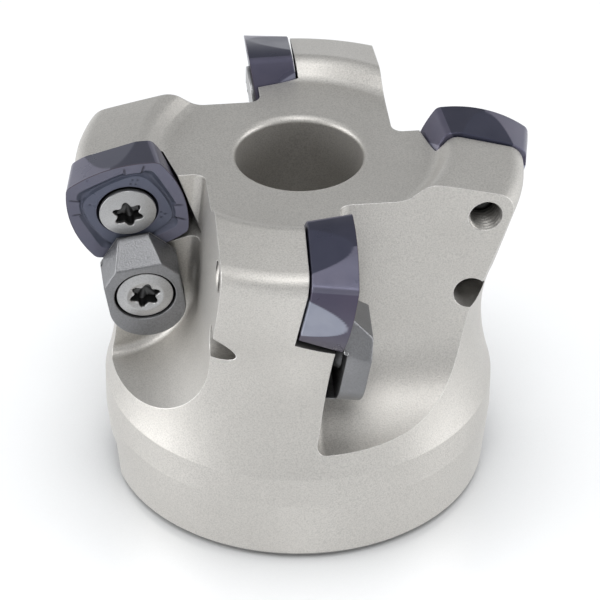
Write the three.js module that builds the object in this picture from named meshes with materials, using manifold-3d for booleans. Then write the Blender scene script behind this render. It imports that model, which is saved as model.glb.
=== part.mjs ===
// Four-tooth indexable face mill: a turned and milled body, four square inserts with bowed edges,
// and at each pocket an insert screw, a clamp, a clamp screw and a lifting spring.
// Millimetres, +Z towards the cutting end, origin at the centre of the hub's back face.
import * as THREE from 'three';
import { mergeVertices } from 'three/addons/utils/BufferGeometryUtils.js';
import Module from 'manifold-3d';

const wasm = await Module();
wasm.setup();

// Driving sizes of the whole cutter
const toothCount = 4;
const cuttingDiameter = 63;
const overallHeight = 51.3;
const axialRakeDegrees = 7.7;
const leadDegrees = 17.4;
const rakePlaneOffset = 2.2;
const seatGap = 0.3;
const cutOverrun = 12;

// Insert
const insertHalfSquare = 7.75;
const insertEdgeRadius = 17;
const insertCornerRadius = 1.2;
const insertThickness = 5.9;
const insertReliefDegrees = 11;
const insertSeatFacetDegrees = 15.2;
const insertHoleDiameter = 5;
const insertHoleMouthDiameter = 8.2;
const insertHoleConeDepth = 3;
const insertLandWidth = 1.4;
const insertGrooveWidth = 0.9;
const insertGrooveDepth = 0.4;
const insertPlatformDrop = 0.06;
const insertPlatformTwistDegrees = 12;
const insertSides = 4;

// Screws, one kind under the insert and one through the clamp
const screwHeadDiameter = 7.6;
const screwHeadRim = 0.5;
const screwDomeHeight = 0.5;
const screwShankDiameter = 3.8;
const screwLength = 12;
const screwTipChamfer = 0.5;
const screwSocketRadius = 1.75;
const screwSocketLobe = 0.33;
const screwSocketLobes = 6;
const screwSocketDepth = 1.7;
const tappedHoleDiameter = 4.4;
const insertScrewStandUp = 0.44;

// Clamp
const clampAxisRadius = 21.3;
const clampAxisBelowInsert = 11.65;
const clampHalfWidth = 5.15;
const clampTop = 4.3;
const clampEndCentre = 2.2;
const clampNosePad = 0.3;
const clampArch = 0.9;
const clampArchStart = 4.2;
const clampHeelThickness = 1.5;
const clampNoseHalfWidth = 2.03;
const clampNoseHeight = 1.8;
const clampNoseRun = 8.1;
const clampCreaseHalfWidth = 3.13;
const clampCreaseRun = 5.1;
const clampShoulderHalfWidth = 4.96;
const clampShoulderRun = 2.8;
const clampHeadRecess = 0.25;

// Lifting spring round the clamp screw
const springMeanDiameter = 5.5;
const springWire = 0.7;
const springTurns = 3.25;
const springSeatDepth = 4.2;
const springSeatClearance = 0.35;

// Body, from the back face up
const hubDiameter = 51;
const hubChamfer = 1;
const hubBandHeight = 9.6;
const hubBandRise = 0.9;
const hubTopHeight = 14;
const waistDiameter = 49.6;
const waistHeight = 25.1;
const flareStartHeight = 36.4;
const flareStartRise = 2.2;
const shoulderSetback = 1;
const crestDrop = 0.4;
const crestSetback = 11.2;
const crestFallDegrees = 15;
const shoulderRadius = 2.6;
const crestRadius = 2;
const stepFootSetback = 13.5;
const stepFootRadius = 2;
const faceStep = 2.35;

// Gullets between the teeth
const gulletWallClearance = 2.15;
const gulletWallLeanDegrees = 3.6;
const toothFaceSetback = 0.6;
const gulletRunoutDrop = 22.1;
const gulletFloorRadius = 12.8;
const gulletFloorEndDegrees = 84;
const gulletCornerRadius = 1.5;

// Bore, bolt seat and drive slot, to the usual sizes for a 22 mm arbor
const pilotBoreDiameter = 22;
const pilotBoreDepth = 20;
const pilotBoreChamfer = 0.8;
const boltHoleDiameter = 11;
const boltSeatThickness = 10;
const boltHeadBoreDiameter = 17;
const boltHeadBoreRounding = 0.45;
const driveSlotWidth = 10.4;
const driveSlotDepth = 6.3;

// Insert pocket
const pocketCornerRelief = 1.05;
const pocketWallRise = 0.9;

// Counts of steps along round shapes
const turnedSteps = 72;
const boreSteps = 20;
const socketSteps = 24;
const filletSteps = 4;
const flareSteps = 5;
const gulletFloorSteps = 8;
const clampEndSteps = 10;
const edgeSteps = 6;
const cornerSteps = 2;
const coilSteps = 8;
const coilSides = 5;

const bodyMaterial = new THREE.MeshStandardMaterial({ color: 0xb9b3a8, roughness: 0.55, metalness: 0.85 });
const insertMaterial = new THREE.MeshStandardMaterial({ color: 0x55556a, roughness: 0.4, metalness: 0.6 });
const screwMaterial = new THREE.MeshStandardMaterial({ color: 0xa9a8a4, roughness: 0.35, metalness: 0.9 });
const clampMaterial = new THREE.MeshStandardMaterial({ color: 0x7d7a77, roughness: 0.6, metalness: 0.8 });
const springMaterial = new THREE.MeshStandardMaterial({ color: 0x6c6c70, roughness: 0.4, metalness: 0.9 });

const radians = THREE.MathUtils.degToRad;
const fullTurn = 2 * Math.PI;
const axialRake = radians(axialRakeDegrees);
const lead = radians(leadDegrees);
const wallLean = radians(gulletWallLeanDegrees);
const cuttingRadius = cuttingDiameter / 2;
const weldDistance = 0.0001;
const zAxis = new THREE.Vector3(0, 0, 1);

// A closed mesh from rings of equal point counts. Rings that are not looped get a fan at each end.
function ringBody(rings, looped) {
  const count = rings[0].length;
  const points = rings.flat();
  const faces = [];
  const bands = looped ? rings.length : rings.length - 1;
  for (let band = 0; band < bands; band += 1) {
    const here = band * count;
    const there = ((band + 1) % rings.length) * count;
    for (let step = 0; step < count; step += 1) {
      const next = (step + 1) % count;
      faces.push(here + step, there + step, there + next);
      faces.push(here + step, there + next, here + next);
    }
  }
  if (!looped) {
    for (const ring of [0, rings.length - 1]) {
      const centre = new THREE.Vector3();
      rings[ring].forEach((point) => centre.addScaledVector(point, 1 / count));
      const hub = points.push(centre) - 1;
      for (let step = 0; step < count; step += 1) {
        const a = ring * count + step;
        const b = ring * count + ((step + 1) % count);
        faces.push(hub, ring === 0 ? a : b, ring === 0 ? b : a);
      }
    }
  }
  const geometry = new THREE.BufferGeometry().setFromPoints(points);
  geometry.setIndex(faces);
  return facingOut(geometry);
}

// Six times the signed volume tells which way the faces of a closed mesh point.
function facingOut(geometry) {
  const index = geometry.getIndex();
  const position = geometry.getAttribute('position');
  const corners = [new THREE.Vector3(), new THREE.Vector3(), new THREE.Vector3()];
  let volume = 0;
  for (let face = 0; face < index.count; face += 3) {
    corners.forEach((corner, k) => corner.fromBufferAttribute(position, index.getX(face + k)));
    volume += corners[0].dot(corners[1].clone().cross(corners[2]));
  }
  if (volume < 0) {
    for (let face = 0; face < index.count; face += 3) {
      const swap = index.getX(face + 1);
      index.setX(face + 1, index.getX(face + 2));
      index.setX(face + 2, swap);
    }
  }
  return geometry;
}

// Booleans work on closed meshes whose shared corners are one vertex.
function toSolid(geometry, matrix = new THREE.Matrix4()) {
  const placed = geometry.clone().applyMatrix4(matrix);
  placed.deleteAttribute('normal');
  placed.deleteAttribute('uv');
  const merged = facingOut(mergeVertices(placed, weldDistance));
  return new wasm.Manifold(new wasm.Mesh({
    numProp: 3,
    vertProperties: merged.getAttribute('position').array,
    triVerts: Uint32Array.from(merged.getIndex().array),
  }));
}

function toGeometry(solid) {
  const mesh = solid.getMesh();
  const geometry = new THREE.BufferGeometry();
  geometry.setAttribute('position', new THREE.BufferAttribute(mesh.vertProperties, 3));
  geometry.setIndex(new THREE.BufferAttribute(mesh.triVerts, 1));
  geometry.computeVertexNormals();
  return geometry;
}

// Corners of an outline, each [x, y, radius], become points with an arc at each radius.
function roundedOutline(corners, looped) {
  const points = [];
  corners.forEach(([x, y, radius], k) => {
    const open = !looped && (k === 0 || k === corners.length - 1);
    const here = new THREE.Vector2(x, y);
    if (open || !radius) {
      points.push(here);
      return;
    }
    const before = corners[(k + corners.length - 1) % corners.length];
    const after = corners[(k + 1) % corners.length];
    const back = new THREE.Vector2(before[0] - x, before[1] - y).normalize();
    const ahead = new THREE.Vector2(after[0] - x, after[1] - y).normalize();
    const halfAngle = Math.acos(THREE.MathUtils.clamp(back.dot(ahead), -1, 1)) / 2;
    const middle = back.clone().add(ahead).normalize();
    const centre = here.clone().addScaledVector(middle, radius / Math.sin(halfAngle));
    const reach = radius / Math.tan(halfAngle);
    const start = here.clone().addScaledVector(back, reach).sub(centre).angle();
    const end = here.clone().addScaledVector(ahead, reach).sub(centre).angle();
    const sweep = Math.atan2(Math.sin(end - start), Math.cos(end - start));
    for (let step = 0; step <= filletSteps; step += 1) {
      const angle = start + (sweep * step) / filletSteps;
      points.push(new THREE.Vector2(centre.x + radius * Math.cos(angle), centre.y + radius * Math.sin(angle)));
    }
  });
  return points;
}

// A ring of points from a radius that may depend on the angle, at one height.
function circleRing(steps, height, radiusAt) {
  return Array.from({ length: steps }, (_, step) => {
    const angle = (fullTurn * step) / steps;
    const radius = radiusAt(angle);
    return new THREE.Vector3(radius * Math.cos(angle), radius * Math.sin(angle), height);
  });
}

function cylinderAlongZ(radius, bottom, top, steps) {
  const geometry = new THREE.CylinderGeometry(radius, radius, top - bottom, steps);
  geometry.rotateX(Math.PI / 2);
  geometry.translate(0, 0, (top + bottom) / 2);
  return geometry;
}

// Square outline with bowed sides and round corners, the size of an insert at one level.
// The flat keeps the sides inside a plane, where the seating facets cut them.
function insertRing(half, height, flat = Infinity, twist = 0) {
  const sideRadius = insertEdgeRadius + half - insertHalfSquare;
  const innerRadius = sideRadius - insertCornerRadius;
  const offset = sideRadius - half;
  const root = Math.sqrt(2 * innerRadius * innerRadius - offset * offset);
  const corner = (root - offset) / 2;
  const halfSweep = Math.atan2(corner, corner + offset);
  const ring = [];
  for (let side = 0; side < insertSides; side += 1) {
    const turn = (fullTurn * side) / insertSides + twist;
    for (let step = 0; step <= edgeSteps; step += 1) {
      const angle = -halfSweep + (2 * halfSweep * step) / edgeSteps;
      const across = Math.min(sideRadius * Math.cos(angle) - offset, flat);
      const along = sideRadius * Math.sin(angle);
      ring.push(new THREE.Vector3(across, along, height).applyAxisAngle(zAxis, turn));
    }
    for (let step = 1; step <= cornerSteps; step += 1) {
      const angle = halfSweep + ((Math.PI / 2 - 2 * halfSweep) * step) / (cornerSteps + 1);
      const across = corner + insertCornerRadius * Math.cos(angle);
      const along = corner + insertCornerRadius * Math.sin(angle);
      ring.push(new THREE.Vector3(across, along, height).applyAxisAngle(zAxis, turn));
    }
  }
  return ring;
}

// Insert: ring by ring from the hole's back edge, up the hole, over the rake face and down the flank.
const insertBackHalf = insertHalfSquare - insertThickness * Math.tan(radians(insertReliefDegrees));
const insertSeatHalf = insertHalfSquare - insertThickness * Math.tan(radians(insertSeatFacetDegrees));

function insertBody() {
  const holeRadius = insertHoleDiameter / 2;
  const grooveHalf = insertHalfSquare - insertLandWidth;
  const platformHalf = grooveHalf - insertGrooveWidth;
  const twist = radians(insertPlatformTwistDegrees);
  const hole = (radius, height) => insertRing(insertHalfSquare, height).map((point) => {
    const angle = Math.atan2(point.y, point.x);
    return new THREE.Vector3(radius * Math.cos(angle), radius * Math.sin(angle), height);
  });
  const flank = (depth) => insertRing(
    insertHalfSquare - depth * Math.tan(radians(insertReliefDegrees)),
    -depth,
    insertHalfSquare - depth * Math.tan(radians(insertSeatFacetDegrees)),
  );
  return ringBody([
    hole(holeRadius, -insertThickness),
    hole(holeRadius, -insertHoleConeDepth),
    hole(insertHoleMouthDiameter / 2, -insertPlatformDrop),
    insertRing(platformHalf, -insertPlatformDrop, Infinity, twist),
    insertRing(grooveHalf, -insertGrooveDepth),
    flank(0),
    flank(insertThickness / 3),
    flank((2 * insertThickness) / 3),
    flank(insertThickness),
  ], true);
}

// Screw: socket floor, socket wall, domed head, countersunk seat, shank and chamfered tip.
// Its origin is where the head's flat rim would meet the axis.
const screwHeadRadius = screwHeadDiameter / 2;
const screwShankRadius = screwShankDiameter / 2;
const seatConeSlope = (insertHoleMouthDiameter - insertHoleDiameter) / 2
  / (insertHoleConeDepth - insertPlatformDrop);
const screwConeDepth = (screwHeadRadius - screwShankRadius) / seatConeSlope;

function screwBody() {
  const socket = (angle) => screwSocketRadius + screwSocketLobe * Math.cos(screwSocketLobes * angle);
  const round = (radius, height) => circleRing(socketSteps, height, () => radius);
  const domeAt = (radius) => screwDomeHeight * (1 - (radius / screwHeadRadius) ** 2);
  const socketMouth = circleRing(socketSteps, domeAt(screwSocketRadius), socket);
  return ringBody([
    circleRing(socketSteps, -screwSocketDepth, socket),
    socketMouth,
    round((screwSocketRadius + screwHeadRadius) / 2, domeAt((screwSocketRadius + screwHeadRadius) / 2)),
    round(screwHeadRadius, 0),
    round(screwHeadRadius, -screwHeadRim),
    round(screwShankRadius, -screwHeadRim - screwConeDepth),
    round(screwShankRadius, -screwLength + screwTipChamfer),
    round(screwShankRadius - screwTipChamfer, -screwLength),
  ], false);
}

// Turned body outline, from the bolt seat bore round the back face and up the outside.
const crestHeight = overallHeight - crestDrop;
const topFlatHeight = crestHeight - faceStep;
const crestInnerRadius = cuttingRadius - crestSetback;
const boltSeatHeight = pilotBoreDepth + boltSeatThickness;

function bodyOutline() {
  const hubRadius = hubDiameter / 2;
  const bandRadius = hubRadius + hubBandRise;
  const waistRadius = waistDiameter / 2;
  const lowerFlare = Array.from({ length: flareSteps }, (_, step) => {
    const rest = 1 - step / flareSteps;
    const height = waistHeight - (waistHeight - hubTopHeight) * rest;
    return [waistRadius + (bandRadius - waistRadius) * rest * rest, height, 0];
  });
  const upperFlare = Array.from({ length: flareSteps + 1 }, (_, step) => {
    const rise = step / flareSteps;
    const height = waistHeight + (flareStartHeight - waistHeight) * rise;
    return [waistRadius + flareStartRise * rise * rise, height, 0];
  });
  const headBore = boltHeadBoreDiameter / 2;
  const shoulderHeight = crestHeight - (crestSetback - shoulderSetback) * Math.tan(radians(crestFallDegrees));
  const corners = [
    [boltHoleDiameter / 2, pilotBoreDepth, 0],
    [pilotBoreDiameter / 2, pilotBoreDepth, 0],
    [pilotBoreDiameter / 2, pilotBoreChamfer, 0],
    [pilotBoreDiameter / 2 + pilotBoreChamfer, 0, 0],
    [hubRadius - hubChamfer, 0, 0],
    [hubRadius, hubChamfer, 0],
    [bandRadius, hubBandHeight, 0],
    ...lowerFlare,
    ...upperFlare,
    [cuttingRadius - shoulderSetback, shoulderHeight, shoulderRadius],
    [crestInnerRadius, crestHeight, crestRadius],
    [cuttingRadius - stepFootSetback, topFlatHeight, stepFootRadius],
    [headBore + boltHeadBoreRounding, topFlatHeight, 0],
    [headBore, topFlatHeight - boltHeadBoreRounding, 0],
    [headBore, boltSeatHeight, 0],
    [boltHoleDiameter / 2, boltSeatHeight, 0],
  ];
  const points = roundedOutline(corners, true);
  points.push(points[0].clone());
  return points;
}

// The rake plane of the tooth that points to -Y, and its frame: x inward, y up the face, z out of it.
function faceMatrix(tooth) {
  const outOfFace = new THREE.Vector3(Math.cos(axialRake), 0, -Math.sin(axialRake));
  const upTheFace = new THREE.Vector3(Math.sin(axialRake), 0, Math.cos(axialRake));
  const inward = new THREE.Vector3(0, 1, 0);
  const matrix = new THREE.Matrix4().makeBasis(inward, upTheFace, outOfFace);
  matrix.setPosition(outOfFace.clone().multiplyScalar(-rakePlaneOffset));
  return new THREE.Matrix4().makeRotationZ((fullTurn * tooth) / toothCount).multiply(matrix);
}

// The insert's centre follows from the cutting diameter and the overall height, at its two outer corners.
const insertCornerReach = Math.max(...insertRing(insertHalfSquare, 0).map((point) => point.length()));
const topCornerAngle = Math.PI / 4 + lead;
const outerCornerAngle = topCornerAngle + Math.PI / 2;
const insertCentreUp = (overallHeight - rakePlaneOffset * Math.sin(axialRake)) / Math.cos(axialRake)
  - insertCornerReach * Math.sin(topCornerAngle);
const outerCornerUp = insertCentreUp + insertCornerReach * Math.sin(outerCornerAngle);
const outerCornerAcross = outerCornerUp * Math.sin(axialRake) - rakePlaneOffset * Math.cos(axialRake);
const insertCentreRadius = Math.sqrt(cuttingRadius ** 2 - outerCornerAcross ** 2)
  + insertCornerReach * Math.cos(outerCornerAngle);
const clampAxisUp = insertCentreUp - clampAxisBelowInsert;
const clampAxisHeight = clampAxisUp * Math.cos(axialRake) + rakePlaneOffset * Math.sin(axialRake);

// The gullet's inner wall is the back of the next tooth. It stands clear of the clamp's side and leans,
// which sets how thick the teeth are.
const gulletWallAt = (height) => clampAxisRadius - clampHalfWidth - gulletWallClearance
  + Math.tan(wallLean) * (clampAxisHeight - height);
const toothThickness = gulletWallAt(0) * Math.cos(axialRake) - rakePlaneOffset;

function insertMatrix(tooth) {
  const matrix = new THREE.Matrix4().makeRotationZ(lead);
  matrix.setPosition(-insertCentreRadius, insertCentreUp, 0);
  return faceMatrix(tooth).multiply(matrix);
}

// The clamp's own frame: y from its screw towards the insert screw, z out of the face.
const clampLean = Math.atan2(insertCentreRadius - clampAxisRadius, clampAxisBelowInsert);

function clampMatrix(tooth) {
  const matrix = new THREE.Matrix4().makeRotationZ(clampLean);
  matrix.setPosition(-clampAxisRadius, clampAxisUp, 0);
  return faceMatrix(tooth).multiply(matrix);
}

// Gullet outline seen along the rake plane, [out, up], drawn in from the full outline by an inset.
// The leaning wall ends in a floor that curves outwards.
function gulletOutline(inset) {
  const top = overallHeight + cutOverrun;
  const far = cuttingRadius + cutOverrun;
  const runoutHeight = overallHeight - gulletRunoutDrop;
  const away = new THREE.Vector2(Math.cos(wallLean), Math.sin(wallLean));
  const start = new THREE.Vector2(gulletWallAt(runoutHeight), runoutHeight);
  const centre = start.clone().addScaledVector(away, gulletFloorRadius);
  const radius = gulletFloorRadius - inset;
  const points = [new THREE.Vector2(gulletWallAt(top) + inset / away.x, top)];
  for (let step = 0; step <= gulletFloorSteps; step += 1) {
    const angle = Math.PI + wallLean + (radians(gulletFloorEndDegrees) * step) / gulletFloorSteps;
    points.push(new THREE.Vector2(centre.x + radius * Math.cos(angle), centre.y + radius * Math.sin(angle)));
  }
  const end = points[points.length - 1];
  const endAngle = Math.PI + wallLean + radians(gulletFloorEndDegrees);
  points.push(new THREE.Vector2(far, end.y - (far - end.x) / Math.tan(endAngle)));
  points.push(new THREE.Vector2(far, top));
  return points;
}

// Gullet: rings of the outline from the rake wall outwards, growing round its root fillet.
function gulletCutter() {
  const faceStart = -(rakePlaneOffset + toothFaceSetback) / Math.cos(axialRake);
  const ringAt = (inset, depth) => gulletOutline(inset).map((point) => new THREE.Vector3(
    faceStart + depth + point.y * Math.tan(axialRake),
    -point.x,
    point.y,
  ));
  const rings = Array.from({ length: filletSteps + 1 }, (_, step) => {
    const angle = ((Math.PI / 2) * step) / filletSteps;
    return ringAt(gulletCornerRadius * (1 - Math.sin(angle)), gulletCornerRadius * (1 - Math.cos(angle)));
  });
  rings.push(ringAt(0, 2 * cuttingRadius));
  return ringBody(rings, false);
}

// Pocket: a flat floor and two walls that follow the insert's seating facets.
const pocketFloor = -insertThickness - seatGap;

function pocketCutter() {
  const wallSlope = Math.tan(radians(insertSeatFacetDegrees));
  const wallAt = (height) => insertSeatHalf + seatGap + (height + insertThickness) * wallSlope;
  const outside = insertHalfSquare + cutOverrun;
  const ring = (height) => {
    const wall = wallAt(height);
    return [
      new THREE.Vector3(-outside, -wall, height),
      new THREE.Vector3(wall, -wall, height),
      new THREE.Vector3(wall, outside, height),
      new THREE.Vector3(-outside, outside, height),
    ];
  };
  return ringBody([ring(pocketFloor), ring(pocketWallRise)], false);
}

function pocketReliefs() {
  const wall = (insertSeatHalf + insertHalfSquare) / 2;
  const inset = pocketCornerRelief / 2;
  return [[wall - inset, -wall + inset], [wall - inset, wall + inset]].map(([x, y]) => {
    const relief = cylinderAlongZ(pocketCornerRelief, pocketFloor, pocketWallRise, boreSteps);
    relief.translate(x, y, 0);
    return relief;
  });
}

function cutterBody() {
  const turned = new THREE.LatheGeometry(bodyOutline(), turnedSteps);
  turned.rotateX(Math.PI / 2);
  let body = toSolid(turned);
  const toothDepth = toothThickness + cutOverrun;
  const tapped = tappedHoleDiameter / 2;
  const springSeat = springMeanDiameter / 2 + springWire / 2 + springSeatClearance;
  const gullet = gulletCutter();
  for (let tooth = 0; tooth < toothCount; tooth += 1) {
    const turn = new THREE.Matrix4().makeRotationZ((fullTurn * tooth) / toothCount);
    body = body.subtract(toSolid(gullet, turn));
    body = body.subtract(toSolid(pocketCutter(), insertMatrix(tooth)));
    for (const relief of pocketReliefs()) {
      body = body.subtract(toSolid(relief, insertMatrix(tooth)));
    }
    const insertHole = cylinderAlongZ(tapped, -toothDepth, 0, boreSteps);
    body = body.subtract(toSolid(insertHole, insertMatrix(tooth)));
    const clampHole = cylinderAlongZ(tapped, -toothDepth, seatGap, boreSteps);
    body = body.subtract(toSolid(clampHole, clampMatrix(tooth)));
    const seat = cylinderAlongZ(springSeat, -springSeatDepth, seatGap, boreSteps);
    body = body.subtract(toSolid(seat, clampMatrix(tooth)));
  }
  const slot = new THREE.BoxGeometry(hubDiameter + cutOverrun, driveSlotWidth, 2 * driveSlotDepth);
  return toGeometry(body.subtract(toSolid(slot)));
}

// A block whose lower face lies in a plane, to cut away all that is above it.
function blockAbove(point, normal) {
  const size = 4 * clampHalfWidth + cutOverrun;
  const block = new THREE.BoxGeometry(size, size, size);
  block.translate(0, 0, size / 2);
  const turn = new THREE.Quaternion().setFromUnitVectors(zAxis, normal.clone().normalize());
  return block.applyQuaternion(turn).translate(point.x, point.y, point.z);
}

function planeAbove(a, b, c) {
  const normal = b.clone().sub(a).cross(c.clone().sub(a));
  return blockAbove(a, normal.z < 0 ? normal.negate() : normal);
}

// Clamp: a round-ended block with a sloping nose, two side facets, an arch under it and a heel.
function clampBody() {
  const heel = -toothFaceSetback + seatGap;
  const noseEnd = Math.hypot(insertCentreRadius - clampAxisRadius, clampAxisBelowInsert)
    - screwHeadRadius - seatGap;
  const outline = new THREE.Shape();
  outline.moveTo(clampHalfWidth, noseEnd);
  outline.lineTo(-clampHalfWidth, noseEnd);
  for (let step = 0; step <= clampEndSteps; step += 1) {
    const angle = Math.PI + (Math.PI * step) / clampEndSteps;
    outline.lineTo(clampHalfWidth * Math.cos(angle), clampHalfWidth * Math.sin(angle) - clampEndCentre);
  }
  const block = new THREE.ExtrudeGeometry(outline, { depth: clampTop - heel, bevelEnabled: false });
  let clamp = toSolid(block.translate(0, 0, heel));
  const noseLeft = new THREE.Vector3(-clampNoseHalfWidth, clampNoseRun, clampNoseHeight);
  const noseRight = new THREE.Vector3(clampNoseHalfWidth, clampNoseRun, clampNoseHeight);
  const creaseLeft = new THREE.Vector3(-clampCreaseHalfWidth, clampCreaseRun, clampTop);
  const creaseRight = new THREE.Vector3(clampCreaseHalfWidth, clampCreaseRun, clampTop);
  const shoulderLeft = new THREE.Vector3(-clampShoulderHalfWidth, clampShoulderRun, clampTop);
  const shoulderRight = new THREE.Vector3(clampShoulderHalfWidth, clampShoulderRun, clampTop);
  clamp = clamp.subtract(toSolid(planeAbove(noseLeft, noseRight, creaseLeft)));
  clamp = clamp.subtract(toSolid(planeAbove(noseLeft, creaseLeft, shoulderLeft)));
  clamp = clamp.subtract(toSolid(planeAbove(noseRight, creaseRight, shoulderRight)));

  const heelEdge = -clampEndCentre - clampHalfWidth + clampHeelThickness;
  const archLength = clampArchStart - heelEdge;
  const arch = new THREE.BoxGeometry(4 * clampHalfWidth, archLength, cutOverrun)
    .translate(0, heelEdge + archLength / 2, clampArch - cutOverrun / 2);
  clamp = clamp.subtract(toSolid(arch));
  const padLength = noseEnd - heelEdge + cutOverrun;
  const pad = new THREE.BoxGeometry(4 * clampHalfWidth, padLength, cutOverrun)
    .translate(0, heelEdge + padLength / 2, clampNosePad - cutOverrun / 2);
  clamp = clamp.subtract(toSolid(pad));

  const headRadius = screwHeadRadius + seatGap;
  const shankRadius = screwShankRadius + seatGap;
  const coneTop = clampTop - clampHeadRecess - screwHeadRim;
  const ring = (radius, height) => circleRing(boreSteps, height, () => radius);
  clamp = clamp.subtract(toSolid(ringBody([
    ring(headRadius, clampTop + seatGap),
    ring(headRadius, coneTop),
    ring(shankRadius, coneTop - screwConeDepth),
    ring(shankRadius, heel - seatGap),
  ], false)));
  return toGeometry(clamp);
}

// Spring: a wire along a helix, stood on the bottom of its seat and reaching the clamp's arch.
const springFoot = -springSeatDepth + seatGap + springWire / 2;
const springHead = clampArch - seatGap - springWire / 2;

class CoilCurve extends THREE.Curve {
  getPoint(share) {
    const angle = fullTurn * springTurns * share;
    const radius = springMeanDiameter / 2;
    const height = springFoot + (springHead - springFoot) * share;
    return new THREE.Vector3(radius * Math.cos(angle), radius * Math.sin(angle), height);
  }
}

function springBody() {
  const section = new THREE.Shape();
  for (let side = 0; side < coilSides; side += 1) {
    const angle = (fullTurn * side) / coilSides;
    const x = (springWire / 2) * Math.cos(angle);
    const y = (springWire / 2) * Math.sin(angle);
    if (side === 0) section.moveTo(x, y);
    else section.lineTo(x, y);
  }
  const steps = Math.round(coilSteps * springTurns);
  const wire = new THREE.ExtrudeGeometry(section, { steps, extrudePath: new CoilCurve(), bevelEnabled: false });
  return toGeometry(toSolid(wire));
}

const springPitch = (springHead - springFoot) / springTurns;
console.log(`least gap between the spring's coils ${(springPitch - springWire).toFixed(2)} mm`);
console.log(`insert centre ${insertCentreRadius.toFixed(2)} out, ${insertCentreUp.toFixed(2)} up the face`);

// Assembly: one group per tooth, in the frame of its rake face.
const faceMill = new THREE.Group();
faceMill.name = 'face_mill';

function named(name, geometry, material) {
  const mesh = new THREE.Mesh(geometry, material);
  mesh.name = name;
  return mesh;
}

faceMill.add(named('cutter_body', cutterBody(), bodyMaterial));

const insertGeometry = insertBody();
const screwGeometry = screwBody();
const clampGeometry = clampBody();
const springGeometry = springBody();

for (let tooth = 0; tooth < toothCount; tooth += 1) {
  const number = tooth + 1;
  const face = new THREE.Group();
  face.applyMatrix4(faceMatrix(tooth));

  const insert = named(`insert_${number}`, insertGeometry, insertMaterial);
  insert.position.set(-insertCentreRadius, insertCentreUp, 0);
  insert.rotation.z = lead;
  const insertScrew = named(`insert_screw_${number}`, screwGeometry, screwMaterial);
  insertScrew.position.set(-insertCentreRadius, insertCentreUp, insertScrewStandUp);

  const seat = new THREE.Group();
  seat.position.set(-clampAxisRadius, clampAxisUp, 0);
  seat.rotation.z = clampLean;
  const clamp = named(`clamp_${number}`, clampGeometry, clampMaterial);
  const clampScrew = named(`clamp_screw_${number}`, screwGeometry, screwMaterial);
  clampScrew.position.z = clampTop - clampHeadRecess;
  const spring = named(`clamp_spring_${number}`, springGeometry, springMaterial);
  seat.add(clamp, clampScrew, spring);
  face.add(insert, insertScrew, seat);
  faceMill.add(face);
}

export default faceMill;
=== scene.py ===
"""Four-tooth indexable face mill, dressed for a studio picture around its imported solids."""

import logging
import math
from collections.abc import Iterator, Sequence
from dataclasses import dataclass
from enum import Enum

import bpy
import numpy as np
from mathutils import Matrix, Vector


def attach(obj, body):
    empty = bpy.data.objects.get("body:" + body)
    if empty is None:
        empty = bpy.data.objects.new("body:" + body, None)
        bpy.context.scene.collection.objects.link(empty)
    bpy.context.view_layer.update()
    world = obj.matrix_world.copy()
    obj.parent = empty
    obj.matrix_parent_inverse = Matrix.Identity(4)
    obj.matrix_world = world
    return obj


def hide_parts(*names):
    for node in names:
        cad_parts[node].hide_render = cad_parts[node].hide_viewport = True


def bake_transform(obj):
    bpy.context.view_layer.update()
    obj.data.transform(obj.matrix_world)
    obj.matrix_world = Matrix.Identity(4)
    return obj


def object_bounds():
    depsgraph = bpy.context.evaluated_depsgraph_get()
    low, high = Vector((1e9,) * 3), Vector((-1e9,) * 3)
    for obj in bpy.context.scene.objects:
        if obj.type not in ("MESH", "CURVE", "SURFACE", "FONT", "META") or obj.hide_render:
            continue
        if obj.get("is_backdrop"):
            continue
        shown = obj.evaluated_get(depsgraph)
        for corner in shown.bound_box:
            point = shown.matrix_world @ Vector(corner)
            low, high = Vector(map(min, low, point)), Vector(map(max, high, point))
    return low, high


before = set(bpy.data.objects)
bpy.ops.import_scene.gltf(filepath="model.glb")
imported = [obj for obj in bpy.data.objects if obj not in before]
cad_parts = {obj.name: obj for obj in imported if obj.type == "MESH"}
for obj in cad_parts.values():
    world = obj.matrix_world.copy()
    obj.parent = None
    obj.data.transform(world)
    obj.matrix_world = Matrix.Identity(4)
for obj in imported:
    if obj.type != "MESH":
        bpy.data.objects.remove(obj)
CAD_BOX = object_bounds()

log = logging.getLogger("face_mill")
logging.basicConfig(level=logging.INFO, format="%(message)s")

MM = 0.001
TAU = 2 * math.pi
TEETH = 4
Array = np.ndarray
Colour = tuple[float, float, float]
Piece = bpy.types.Object
Socket = bpy.types.NodeSocket


class Slot(Enum):
    """The record's material slots."""

    BODY = "body_steel"
    CARBIDE = "coated_carbide"
    SCREW = "screw_steel"
    CLAMP = "clamp_steel"
    SPRING = "spring_steel"


# Meshes from whole arrays


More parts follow.
